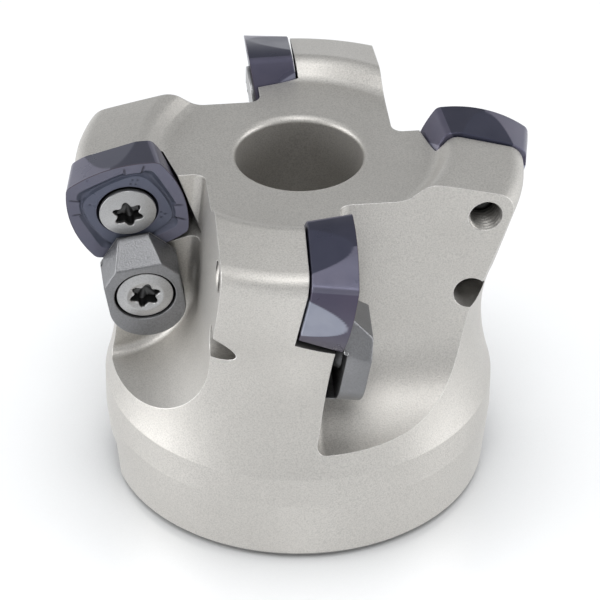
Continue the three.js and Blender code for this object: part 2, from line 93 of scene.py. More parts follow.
def new_object(name: str, points: Array, faces: Array, smooth_degrees: float = 30.0) -> Piece:
    """Makes a mesh object from points in millimetres and faces of four corners.

    Args:
        name: The object's name.
        points: Corner points, one row each, in millimetres.
        faces: Corner numbers, four to a face; a face whose last two are equal is a triangle.
        smooth_degrees: Edges that turn more than this stay sharp.

    Returns:
        The object, linked to the scene, at the origin.
    """
    mesh = bpy.data.meshes.new(name)
    quads = faces[faces[:, 2] != faces[:, 3]]
    triangles = faces[faces[:, 2] == faces[:, 3]][:, :3]
    mesh.vertices.add(len(points))
    mesh.vertices.foreach_set("co", (points * MM).astype(np.float32).ravel())
    loops = np.concatenate([quads.ravel(), triangles.ravel()]).astype(np.int32)
    sizes = np.concatenate([np.full(len(quads), 4), np.full(len(triangles), 3)])
    mesh.loops.add(len(loops))
    mesh.loops.foreach_set("vertex_index", loops)
    mesh.polygons.add(len(sizes))
    starts = np.concatenate([[0], np.cumsum(sizes)[:-1]]).astype(np.int32)
    mesh.polygons.foreach_set("loop_start", starts)
    mesh.update(calc_edges=True)
    mesh.validate()
    piece = add_object(name, mesh)
    shade(piece, smooth_degrees)
    return piece


def add_object(name: str, data: bpy.types.ID) -> Piece:
    """Adds an object with its data to the scene."""
    piece = bpy.data.objects.new(name, data)
    bpy.context.scene.collection.objects.link(piece)
    return piece


def shade(piece: Piece, smooth_degrees: float) -> None:
    """Shades a piece smooth, apart from edges that turn more than the angle."""
    mesh = piece.data
    mesh.polygons.foreach_set("use_smooth", np.ones(len(mesh.polygons), bool))
    mesh.set_sharp_from_angle(angle=math.radians(smooth_degrees))
    mesh.update()


def grid_faces(rows: int, columns: int, loop_rows: bool) -> Array:
    """Numbers the faces of a grid whose columns close round, and whose rows may close too.

    Args:
        rows: Count of rings.
        columns: Count of points in a ring.
        loop_rows: Whether the last ring joins the first.

    Returns:
        Corner numbers, four to a face.
    """
    bands = rows if loop_rows else rows - 1
    row, column = np.meshgrid(np.arange(bands), np.arange(columns), indexing="ij")
    here, after = row * columns, (row + 1) % rows * columns
    beside = (column + 1) % columns
    corners = [here + column, after + column, after + beside, here + beside]
    return np.stack(corners, axis=-1).reshape(-1, 4)


def ring_solid(rings: Array, looped: bool) -> tuple[Array, Array]:
    """Closes a stack of rings into a solid with its faces pointing out.

    Rings that are not looped get a fan of triangles to their mean point at each end. The signed
    volume, the sum of each face's corner dotted with the cross of the next two, sets the direction.

    Args:
        rings: Points in rows, columns and x, y, z, in millimetres.
        looped: Whether the last ring joins the first.

    Returns:
        The points and the faces.
    """
    rows, columns = rings.shape[:2]
    points = rings.reshape(-1, 3)
    faces = grid_faces(rows, columns, looped)
    if not looped:
        ends = []
        for row, flip in ((0, False), (rows - 1, True)):
            hub = np.full(columns, len(points))
            points = np.vstack([points, rings[row].mean(axis=0)])
            here = row * columns + np.arange(columns)
            there = row * columns + (np.arange(columns) + 1) % columns
            pair = (there, here) if flip else (here, there)
            ends.append(np.stack([*pair, hub, hub], axis=-1))
        faces = np.vstack([faces, *ends])
    a, b, c, d = (points[faces[:, k]] for k in range(4))
    volume = (a * np.cross(b, c)).sum() + (a * np.cross(c, d)).sum()
    if volume < 0:
        triangle = (faces[:, 2] == faces[:, 3])[:, None]
        faces = np.where(triangle, faces[:, [1, 0, 2, 3]], faces[:, ::-1])
    return points, faces


def circle(columns: int) -> Array:
    """Angles of a ring's points, in radians."""
    return TAU * np.arange(columns) / columns


def directions(angle: Array) -> Array:
    """Unit vectors, x and y, at each angle."""
    return np.stack([np.cos(angle), np.sin(angle)], axis=-1)


def turned_points(radius: Array | float, angle: Array, height: Array | float) -> Array:
    """Points round Z: x is r cos t and y is r sin t."""
    return np.stack([radius * np.cos(angle), radius * np.sin(angle), height + 0 * angle], axis=-1)


def revolve(profile: Sequence[tuple[float, float]] | Array, columns: int) -> Array:
    """Turns a profile of radius and height round Z into rings."""
    radius, height = np.array(profile, float).T[:, :, None]
    return turned_points(radius, circle(columns), height)


def rounded(corners: Sequence[tuple[float, float, float]], steps: int, looped: bool) -> Array:
    """Replaces each corner (x, y, radius) by an arc tangent to its two sides.

    Args:
        corners: The outline's corners with the radius of each.
        steps: Count of steps along an arc.
        looped: Whether the last corner joins the first.

    Returns:
        The outline's points, two columns.
    """
    rows = np.array(corners, float)
    points: list[Array] = []
    for k, (x, y, radius) in enumerate(rows):
        here = np.array([x, y])
        if radius == 0 or (not looped and k in (0, len(rows) - 1)):
            points.append(here[None])
            continue
        back = rows[k - 1, :2] - here
        ahead = rows[(k + 1) % len(rows), :2] - here
        back, ahead = back / np.linalg.norm(back), ahead / np.linalg.norm(ahead)
        half = math.acos(float(np.clip(back @ ahead, -1, 1))) / 2
        middle = (back + ahead) / np.linalg.norm(back + ahead)
        centre = here + middle * radius / math.sin(half)
        start = here + back * radius / math.tan(half) - centre
        end = here + ahead * radius / math.tan(half) - centre
        first = math.atan2(start[1], start[0])
        sweep = math.remainder(math.atan2(end[1], end[0]) - first, TAU)
        angle = first + sweep * np.linspace(0, 1, steps + 1)
        points.append(centre + radius * directions(angle))
    return np.vstack(points)


def place(points: Array, matrix: Array) -> Array:
    """Carries points in millimetres through a 4 by 4 matrix."""
    return points @ matrix[:3, :3].T + matrix[:3, 3]


def solid(
    name: str, rings: Array, looped: bool, matrix: Array | None = None, smooth_degrees: float = 30.0
) -> Piece:
    """Makes an object of a stack of rings, carried through a matrix if there is one."""
    points, faces = ring_solid(rings, looped)
    if matrix is not None:
        points = place(points, matrix)
    return new_object(name, points, faces, smooth_degrees)


def cut(target: Piece, tool: Piece) -> None:
    """Cuts the tool out of the target, and deletes the tool."""
    step = target.modifiers.new("cut", "BOOLEAN")
    step.operation = "DIFFERENCE"
    step.object = tool
    step.solver = "MANIFOLD"
    apply_modifiers(target)
    bpy.data.meshes.remove(tool.data)


def apply_modifiers(piece: Piece) -> None:
    """Makes a piece's modifiers part of its mesh."""
    bpy.context.view_layer.update()
    evaluated = piece.evaluated_get(bpy.context.evaluated_depsgraph_get())
    mesh = bpy.data.meshes.new_from_object(evaluated)
    mesh.name = piece.name
    piece.modifiers.clear()
    old, piece.data = piece.data, mesh
    bpy.data.meshes.remove(old)


def tidy_normals(piece: Piece, degrees: float) -> None:
    """Shades by angle, then weights each normal by the area of its faces so that flats stay flat."""
    shade(piece, degrees)
    step = piece.modifiers.new("weights", "WEIGHTED_NORMAL")
    step.keep_sharp = True
    step.weight = 100
    apply_modifiers(piece)


# Sizes, in millimetres and degrees


@dataclass(frozen=True)
class MillSizes:
    """Sizes that several pieces share."""

    cutting_radius: float = 31.5
    height: float = 51.3
    rake_degrees: float = 7.7
    lead_degrees: float = 17.4
    rake_offset: float = 2.2
    gap: float = 0.3
    insert_radius: float = 23.21
    insert_up: float = 43.47
    clamp_radius: float = 21.3
    clamp_below: float = 11.65
    insert_half: float = 7.75
    insert_thick: float = 5.9
    relief_degrees: float = 11.0
    seat_degrees: float = 15.2

    @property
    def rake(self) -> float:
        """Axial rake in radians."""
        return math.radians(self.rake_degrees)

    @property
    def seat_half(self) -> float:
        """Half the insert's width between its seating facets, at the back."""
        return self.insert_half - self.insert_thick * math.tan(math.radians(self.seat_degrees))

    def face_matrix(self, tooth: int) -> Array:
        """Frame of a tooth's rake plane: x inward, y up the face, z out of it."""
        spin = np.array(Matrix.Rotation(TAU * tooth / TEETH, 4, "Z"))
        face = np.eye(4)
        face[:3, 0] = (0, 1, 0)
        face[:3, 1] = (math.sin(self.rake), 0, math.cos(self.rake))
        face[:3, 2] = (math.cos(self.rake), 0, -math.sin(self.rake))
        face[:3, 3] = -self.rake_offset * face[:3, 2]
        return spin @ face

    def turned(self, tooth: int, turn: float, spot: tuple[float, float, float]) -> Array:
        """Frame that is moved to a spot of the rake plane and turned in it, in radians."""
        local = np.array(Matrix.Rotation(turn, 4, "Z"))
        local[:3, 3] = spot
        return self.face_matrix(tooth) @ local

    def insert_matrix(self, tooth: int) -> Array:
        """Frame of a tooth's insert, turned by its lead angle."""
        return self.turned(tooth, math.radians(self.lead_degrees), (-self.insert_radius, self.insert_up, 0))

    def clamp_matrix(self, tooth: int) -> Array:
        """Frame of a tooth's clamp: y from its screw towards the insert screw."""
        lean = math.atan2(self.insert_radius - self.clamp_radius, self.clamp_below)
        return self.turned(tooth, lean, (-self.clamp_radius, self.insert_up - self.clamp_below, 0))

    def insert_axis(self, tooth: int) -> Array:
        """Frame of a tooth's rake plane, moved to the insert screw's axis."""
        moved = self.face_matrix(tooth)
        moved[:3, 3] = place(np.array([-self.insert_radius, self.insert_up, 0]), moved)
        return moved


# Finishes


class Nodes:
    """Short ways to add and join the nodes of a material or a world."""

    def __init__(self, owner: bpy.types.Material | bpy.types.World) -> None:
        """Turns the owner's nodes on and keeps its tree."""
        owner.use_nodes = True
        self.tree = owner.node_tree

    def fill(self, node: bpy.types.Node, **settings: object) -> bpy.types.Node:
        """Sets a node; a setting names a property of it, or an input socket with _ for a space."""
        for key, value in settings.items():
            if hasattr(node, key):
                setattr(node, key, value)
            else:
                node.inputs[key.replace("_", " ")].default_value = value
        return node

    def add(self, kind: str, **settings: object) -> bpy.types.Node:
        """Adds a node with its settings."""
        return self.fill(self.tree.nodes.new(kind), **settings)

    def shader(self, **settings: object) -> bpy.types.Node:
        """Sets the Principled shader that the material starts with."""
        return self.fill(self.tree.nodes["Principled BSDF"], **settings)

    def join(self, source: Socket, target: Socket) -> None:
        """Links one socket to another."""
        self.tree.links.new(source, target)

    def noise(self, scale: float, detail: float, roughness: float = 0.55) -> Socket:
        """Noise over Object coordinates, with its size set by scale in turns per metre."""
        node = self.add("ShaderNodeTexNoise", Scale=scale, Detail=detail, Roughness=roughness)
        self.join(self.add("ShaderNodeTexCoord").outputs["Object"], node.inputs["Vector"])
        return node.outputs["Fac"]

    def ramp(
        self, source: Socket, low: float = 0.3, high: float = 0.7, out: tuple[float, float] = (0.0, 1.0)
    ) -> Socket:
        """Maps a value from one range to another; the first range starts as the middle of a noise."""
        node = self.add("ShaderNodeMapRange", From_Min=low, From_Max=high, To_Min=out[0], To_Max=out[1])
        self.join(source, node.inputs["Value"])
        return node.outputs["Result"]

    def mix(self, share: Socket, first: Socket | Colour, second: Socket | Colour) -> Socket:
        """Mixes two colours, each a socket or a colour."""
        node = self.add("ShaderNodeMix", data_type="RGBA")
        self.join(share, node.inputs[0])
        for value, socket in ((first, node.inputs[6]), (second, node.inputs[7])):
            if isinstance(value, Socket):
                self.join(value, socket)
            else:
                socket.default_value = (*value, 1)
        return node.outputs[2]

    def combine(self, operation: str, first: Socket, second: Socket) -> Socket:
        """Puts two values through a Math node: MAXIMUM gives the larger, MULTIPLY the product."""
        node = self.add("ShaderNodeMath", operation=operation)
        self.join(first, node.inputs[0])
        self.join(second, node.inputs[1])
        return node.outputs[0]

    def crevice_shade(self, reach: float, samples: int = 8) -> Socket:
        """Share of painted shade: 0 in the open, 1 where most directions meet metal within the reach."""
        node = self.add("ShaderNodeAmbientOcclusion", samples=samples, Distance=reach)
        return self.ramp(node.outputs["AO"], 0.55, 0.12)

    def soft_edges(self, radius: float, samples: int = 6) -> Socket:
        """Normal that is rounded near edges by a radius in metres."""
        return self.add("ShaderNodeBevel", samples=samples, Radius=radius).outputs["Normal"]

    def edge_wear_and_highlight(self, rounded_normal: Socket) -> Socket:
        """Share of worn edge and painted highlight: 0 on flats, growing at edges where the rounded normal
        leaves the true one.
        """
        dot = self.add("ShaderNodeVectorMath", operation="DOT_PRODUCT")
        self.join(rounded_normal, dot.inputs[0])
        self.join(self.add("ShaderNodeNewGeometry").outputs["Normal"], dot.inputs[1])
        return self.ramp(dot.outputs["Value"], 1.0, 0.82)

    def bump(self, height: Socket, normal: Socket, strength: float, distance: float) -> Socket:
        """Normal with the height's bumps on it, up to a distance in metres."""
        node = self.add("ShaderNodeBump", Strength=strength, Distance=distance)
        self.join(height, node.inputs["Height"])
        self.join(normal, node.inputs["Normal"])
        return node.outputs["Normal"]


@dataclass(frozen=True)
class BlastedSteel:
    """Bead-blasted plated steel: a fine grain, slow changes of tone, bright edges that are partly wear and
    partly a painted highlight, and painted shade in crevices and hollows.
    """

    name: str
    colour: Colour
    dark: Colour
    # Colour of the edges: partly wear, partly a painted highlight
    edge: Colour
    roughness: float
    grain_mm: float
    grain_depth: float
    edge_mm: float
    metallic: float
    cloud_scale: float = 90.0
    speck: float = 0.72
    # Reach of the painted shade in crevices, and how dark it goes
    shade_reach_mm: float = 3.0
    painted_shade_tone: float = 0.22
    swing: float = 0.06
    bump_mm: float = 0.04

    def build(self) -> bpy.types.Material:
        """Makes the node material."""
        material = bpy.data.materials.new(self.name)
        nodes = Nodes(material)
        shader = nodes.shader(Metallic=self.metallic)
        grain = nodes.noise(1 / (self.grain_mm * MM), 3.0, 0.6)
        tone = nodes.mix(nodes.ramp(nodes.noise(self.cloud_scale, 4.0)), self.dark, self.colour)
        pits = tuple(c * self.speck for c in self.colour)
        speckled = nodes.mix(nodes.ramp(grain, high=0.6), pits, tone)
        normal = nodes.soft_edges(self.edge_mm * MM)
        # Bright edges: partly wear, partly a painted highlight
        worn_and_highlit = nodes.mix(nodes.edge_wear_and_highlight(normal), speckled, self.edge)
        # Painted shade: crevices found by ambient occlusion, and hollows marked on the mesh, go over to a
        # dark tone
        hollow_shade = nodes.add("ShaderNodeAttribute", attribute_name="hollow_shade").outputs["Fac"]
        shaded_share = nodes.combine("MAXIMUM", nodes.crevice_shade(self.shade_reach_mm * MM), hollow_shade)
        painted_shade_tone = tuple(c * self.painted_shade_tone for c in self.dark)
        nodes.join(nodes.mix(shaded_share, worn_and_highlit, painted_shade_tone), shader.inputs["Base Color"])
        rough = (self.roughness - self.swing, self.roughness + self.swing)
        nodes.join(nodes.ramp(grain, out=rough), shader.inputs["Roughness"])
        nodes.join(nodes.bump(grain, normal, self.grain_depth, self.bump_mm * MM), shader.inputs["Normal"])
        return material


@dataclass(frozen=True)
class CoatedCarbide:
    """Dark slate coating over ground carbide; each zone's tone comes with the mesh as an attribute, and
    these tones hold painted light and shade that differ by side of the insert.
    """

    name: str
    roughness: tuple[float, float] = (0.26, 0.36)
    gloss_index: float = 1.55
    gloss_tint: Colour = (0.72, 0.72, 1.0)
    edge_mm: float = 0.05
    cloud_scale: float = 240.0
    grain_scale: float = 9000.0
    deep: Colour = (0.84, 0.85, 0.9)
    pale: Colour = (1.1, 1.06, 1.08)
    bump_strength: float = 0.25
    bump_mm: float = 0.02

    def build(self) -> bpy.types.Material:
        """Makes the node material."""
        material = bpy.data.materials.new(self.name)
        nodes = Nodes(material)
        shader = nodes.shader(IOR=self.gloss_index, Specular_Tint=(*self.gloss_tint, 1))
        # The zone tones include painted light and shade by side
        zone = nodes.add("ShaderNodeAttribute", attribute_name="zone").outputs["Color"]
        cloud = nodes.noise(self.cloud_scale, 3.0)
        tinted = nodes.add("ShaderNodeMix", data_type="RGBA", blend_type="MULTIPLY")
        tinted.inputs[0].default_value = 1.0
        nodes.join(zone, tinted.inputs[6])
        nodes.join(nodes.mix(nodes.ramp(cloud), self.deep, self.pale), tinted.inputs[7])
        nodes.join(tinted.outputs[2], shader.inputs["Base Color"])
        nodes.join(nodes.ramp(cloud, out=self.roughness), shader.inputs["Roughness"])
        grain = nodes.noise(self.grain_scale, 2.0)
        normal = nodes.soft_edges(self.edge_mm * MM, 4)
        nodes.join(nodes.bump(grain, normal, self.bump_strength, self.bump_mm * MM), shader.inputs["Normal"])
        return material


@dataclass(frozen=True)
class Finishes:
    """The finishes of the cutter's pieces."""

    body: BlastedSteel = BlastedSteel(
        name="blasted_nickel",
        colour=(0.60, 0.582, 0.552), dark=(0.555, 0.537, 0.508), edge=(0.8, 0.79, 0.77),
        roughness=0.46, grain_mm=0.2, grain_depth=0.8, edge_mm=0.16, metallic=0.85,
    )
    screw: BlastedSteel = BlastedSteel(
        name="satin_screw_steel",
        colour=(0.44, 0.44, 0.443), dark=(0.38, 0.38, 0.382), edge=(0.6, 0.6, 0.6),
        roughness=0.36, grain_mm=0.16, grain_depth=0.3, edge_mm=0.08, metallic=0.9,
    )
    clamp: BlastedSteel = BlastedSteel(
        name="blasted_clamp_steel",
        colour=(0.235, 0.237, 0.245), dark=(0.17, 0.172, 0.18), edge=(0.42, 0.42, 0.425),
        roughness=0.38, grain_mm=0.24, grain_depth=1.0, edge_mm=0.1, metallic=0.85,
    )
    spring: BlastedSteel = BlastedSteel(
        name="spring_wire",
        colour=(0.3, 0.3, 0.3), dark=(0.24, 0.24, 0.24), edge=(0.4, 0.4, 0.4),
        roughness=0.35, grain_mm=0.1, grain_depth=0.2, edge_mm=0.05, metallic=0.9,
    )
    insert: CoatedCarbide = CoatedCarbide("coated_carbide")


def dress(piece: Piece, material: bpy.types.Material, body: str, slot: Slot, *nodes: str) -> None:
    """Gives a finished piece its material and its body, and hides the nodes that it stands for."""
    piece.data.materials.clear()
    piece.data.materials.append(material)
    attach(piece, body)
    if nodes:
        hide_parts(*nodes)
    log.info("%s: %d faces on %s", piece.name, len(piece.data.polygons), body)


# Pieces


@dataclass(frozen=True)
class CutterBody:
    """The turned and milled steel body with its gullets, pockets, tapped holes, bores and drive slot."""

    sizes: MillSizes
    hub_radius: float = 25.5
    hub_chamfer: float = 1.0
    band_height: float = 9.6
    band_radius: float = 26.4
    hub_top: float = 14.0
    waist_radius: float = 24.8
    waist_height: float = 25.1
    flare_start: float = 36.4
    flare_rise: float = 2.2
    shoulder: tuple[float, float, float] = (30.5, 48.16, 2.6)
    crest: tuple[float, float, float] = (20.3, 50.9, 2.0)
    step_foot: float = 18.0
    step_rounding: float = 2.0
    soft_edge: float = 0.4
    top_flat: float = 48.55
    pilot_radius: float = 11.0
    pilot_depth: float = 20.0
    pilot_chamfer: float = 0.8
    bolt_radius: float = 5.5
    seat_height: float = 30.0
    head_radius: float = 8.5
    head_rounding: float = 0.9
    wall_clearance: float = 2.15
    wall_lean_degrees: float = 3.6
    clamp_half: float = 5.15
    face_setback: float = 0.6
    runout_height: float = 29.2
    floor_radius: float = 12.8
    floor_degrees: float = 84.0
    floor_steps: int = 40
    corner_radius: float = 1.5
    corner_steps: int = 9
    relief_radius: float = 1.05
    relief_columns: int = 40
    wall_rise: float = 0.9
    tapped_radius: float = 2.25
    thread_pitch: float = 0.8
    thread_length: float = 17.0
    thread_depth: float = 0.4
    thread_steps: int = 10
    thread_margin: float = 0.1
    square_share: float = 0.9
    hole_columns: int = 64
    spring_seat_radius: float = 3.45
    spring_seat_depth: float = 4.2
    slot_width: float = 10.4
    slot_depth: float = 6.3
    overrun: float = 12.0
    columns: int = 288
    smooth_degrees: float = 24.0

    def outline(self) -> Array:
        """Outline of radius and height, from the bolt seat round the back face and up the outside.

        The flare above the waist and the foot below it are parabolas in height.
        """
        foot = np.linspace(1, 0, 14, endpoint=False)[1:]
        rise = np.linspace(0, 1, 16)
        foot_height = self.waist_height - (self.waist_height - self.hub_top) * foot
        foot_radius = self.waist_radius + (self.band_radius - self.waist_radius) * foot**2
        rise_height = self.waist_height + (self.flare_start - self.waist_height) * rise
        rise_radius = self.waist_radius + self.flare_rise * rise**2
        corners = [
            (self.bolt_radius, self.pilot_depth, 0),
            (self.pilot_radius, self.pilot_depth, 0),
            (self.pilot_radius, self.pilot_chamfer, 0),
            (self.pilot_radius + self.pilot_chamfer, 0, 0),
            (self.hub_radius - self.hub_chamfer, 0, 0),
            (self.hub_radius, self.hub_chamfer, 0),
            (self.band_radius, self.band_height, self.soft_edge),
            (self.band_radius, self.hub_top, self.soft_edge),
            *((radius, height, 0) for radius, height in zip(foot_radius, foot_height)),
            *((radius, height, 0) for radius, height in zip(rise_radius, rise_height)),
            self.shoulder,
            self.crest,
            (self.step_foot, self.top_flat, self.step_rounding),
            (self.head_radius, self.top_flat, self.head_rounding),
            (self.head_radius, self.seat_height, 0),
            (self.bolt_radius, self.seat_height, 0),
        ]
        return rounded(corners, 8, True)

    def wall_at(self, height: float) -> float:
        """Distance of the gullet's inner wall from the axis at a height."""
        rake = self.sizes.rake
        axis_up = self.sizes.insert_up - self.sizes.clamp_below
        axis_height = axis_up * math.cos(rake) + self.sizes.rake_offset * math.sin(rake)
        base = self.sizes.clamp_radius - self.clamp_half - self.wall_clearance
        return base + math.tan(math.radians(self.wall_lean_degrees)) * (axis_height - height)

    def gullet(self, tooth: int) -> Piece:
        """Cutter for one gullet: its outline drawn in at the rake wall by a root fillet.

        The outline is the inner wall, an arc of the floor radius tangent to it, and a straight run
        out. At depth r(1 - cos t) from the rake wall it is drawn in by r(1 - sin t).
        """
        rake = self.sizes.rake
        lean = math.radians(self.wall_lean_degrees)
        top = self.sizes.height + self.overrun
        far = self.sizes.cutting_radius + self.overrun
        away = np.array([math.cos(lean), math.sin(lean)])
        centre = np.array([self.wall_at(self.runout_height), self.runout_height]) + away * self.floor_radius
        angle = math.pi + lean + math.radians(self.floor_degrees) * np.linspace(0, 1, self.floor_steps)
        turn = np.linspace(0, math.pi / 2, self.corner_steps)
        insets = np.append(self.corner_radius * (1 - np.sin(turn)), 0)
        depths = np.append(self.corner_radius * (1 - np.cos(turn)), 2 * self.sizes.cutting_radius)
        face = -(self.sizes.rake_offset + self.face_setback) / math.cos(rake)
        rings = []
        for inset, depth in zip(insets, depths):
            radius = self.floor_radius - inset
            arc = centre + radius * directions(angle)
            run_out = arc[-1, 1] - (far - arc[-1, 0]) / math.tan(angle[-1])
            head = [self.wall_at(top) + inset / away[0], top]
            out_up = np.vstack([[head], arc, [[far, run_out], [far, top]]])
            across = face + depth + out_up[:, 1] * math.tan(rake)
            rings.append(np.stack([across, -out_up[:, 0], out_up[:, 1]], axis=-1))
        cutter = solid("gullet_cutter", np.array(rings), False)
        cutter.data.transform(Matrix.Rotation(TAU * tooth / TEETH, 4, "Z"))
        return cutter

    def pocket(self, tooth: int) -> Iterator[Piece]:
        """Cutters for one insert pocket: its two walls along the seating facets and two corner reliefs."""
        floor = -self.sizes.insert_thick - self.sizes.gap
        slope = math.tan(math.radians(self.sizes.seat_degrees))
        outside = self.sizes.insert_half + self.overrun
        rings = []
        for height in (floor, self.wall_rise):
            wall = self.sizes.seat_half + self.sizes.gap + (height + self.sizes.insert_thick) * slope
            corners = [(-outside, -wall), (wall, -wall), (wall, outside), (-outside, outside)]
            rings.append([(x, y, height) for x, y in corners])
        matrix = self.sizes.insert_matrix(tooth)
        yield solid("pocket_cutter", np.array(rings), False, matrix)
        middle = (self.sizes.seat_half + self.sizes.insert_half - self.relief_radius) / 2
        profile = [(self.relief_radius, floor), (self.relief_radius, self.wall_rise)]
        for side in (-1, 1):
            rings = revolve(profile, self.relief_columns) + np.array([middle, side * middle, 0])
            yield solid("relief_cutter", rings, False, matrix)

    def tapped_hole(self, matrix: Array, top: float, bottom: float) -> Piece:
        """Cutter for a hole through the tooth, with a thread that shows at its far end.

        The thread's radius goes up and down as a triangle wave of height over pitch minus turn.
        """
        angle = circle(self.hole_columns)
        first = bottom + self.thread_length
        rows = np.arange(first, bottom, -self.thread_pitch / self.thread_steps)
        heights = np.concatenate([[top, first + self.thread_margin], rows])
        phase = heights[:, None] / self.thread_pitch - angle[None, :] / TAU
        wave = np.abs((phase % 1.0) * 2 - 1)
        radius = self.tapped_radius + self.thread_depth * (wave - 0.5 * (wave > 0))
        radius[:2] = self.tapped_radius
        return solid("hole_cutter", turned_points(radius, angle, heights[:, None]), False, matrix)

    def cutters(self, tooth: int) -> Iterator[Piece]:
        """Gives one tooth's cutters in turn: gullet, pocket, screw holes and spring seat."""
        gap = self.sizes.gap
        through = self.wall_at(0) * math.cos(self.sizes.rake) - self.sizes.rake_offset + self.overrun / 2
        yield self.gullet(tooth)
        yield from self.pocket(tooth)
        yield self.tapped_hole(self.sizes.insert_axis(tooth), -self.sizes.insert_thick, -through)
        spring_seat = (self.spring_seat_radius, self.spring_seat_depth)
        for radius, depth in ((self.tapped_radius, through), spring_seat):
            rings = revolve([(radius, gap), (radius, -depth)], self.hole_columns)
            yield solid("hole_cutter", rings, False, self.sizes.clamp_matrix(tooth))

    def drive_slot(self) -> Piece:
        """Cutter for the slot across the back face."""
        reach, half, deep = self.hub_radius + self.overrun, self.slot_width / 2, self.slot_depth
        corners = [(-half, -deep), (half, -deep), (half, deep), (-half, deep)]
        ends = [[(x, *corner) for corner in corners] for x in (-reach, reach)]
        return solid("slot_cutter", np.array(ends), False)

    def build(self) -> Piece:
        """Turns the body, cuts everything out of it and shades it with normals weighted by face area."""
        body = solid("milled_body", revolve(self.outline(), self.columns), True)
        for tooth in range(TEETH):
            for cutter in self.cutters(tooth):
                cut(body, cutter)
        cut(body, self.drive_slot())
        tidy_normals(body, self.smooth_degrees)
        self.darken_threads(body)
        return body

    def darken_threads(self, body: Piece) -> None:
        """Gives faces inside the tapped holes a float attribute of painted shade, which grows from crest to
        root.

        It is the square of the distance from the crest over the thread's depth. Faces square to the
        hole's axis, such as the rim round its mouth, stay plain.
        """
        mesh = body.data
        corners, counts = np.empty(len(mesh.loops), np.int32), np.empty(len(mesh.polygons), np.int32)
        points, normals = np.empty(3 * len(mesh.vertices)), np.empty(3 * len(mesh.polygons))
        mesh.loops.foreach_get("vertex_index", corners)
        mesh.polygons.foreach_get("loop_total", counts)
        mesh.vertices.foreach_get("co", points)
        mesh.polygons.foreach_get("normal", normals)
        points, normals = points.reshape(-1, 3) / MM, normals.reshape(-1, 3)
        owner = np.repeat(np.arange(len(counts)), counts)
        starts = np.cumsum(counts) - counts
        crest, root = self.tapped_radius - self.thread_depth / 2, self.tapped_radius + self.thread_depth / 2
        hollow_shade = np.zeros(len(corners))
        for tooth in range(TEETH):
            matrix = self.sizes.insert_axis(tooth)
            axis, apart = matrix[:3, 2], points - matrix[:3, 3]
            radius = np.linalg.norm(apart - np.outer(apart @ axis, axis), axis=1)[corners]
            inside = np.logical_and.reduceat(radius < root + self.thread_margin, starts)
            inside &= np.abs(normals @ axis) < self.square_share
            share = np.clip((radius - crest) / (root - crest), 0, 1) ** 2
            hollow_shade = np.where(inside[owner], share, hollow_shade)
        # Painted shade in the thread roots
        mesh.attributes.new("hollow_shade", "FLOAT", "CORNER").data.foreach_set("value", hollow_shade.astype(np.float32))


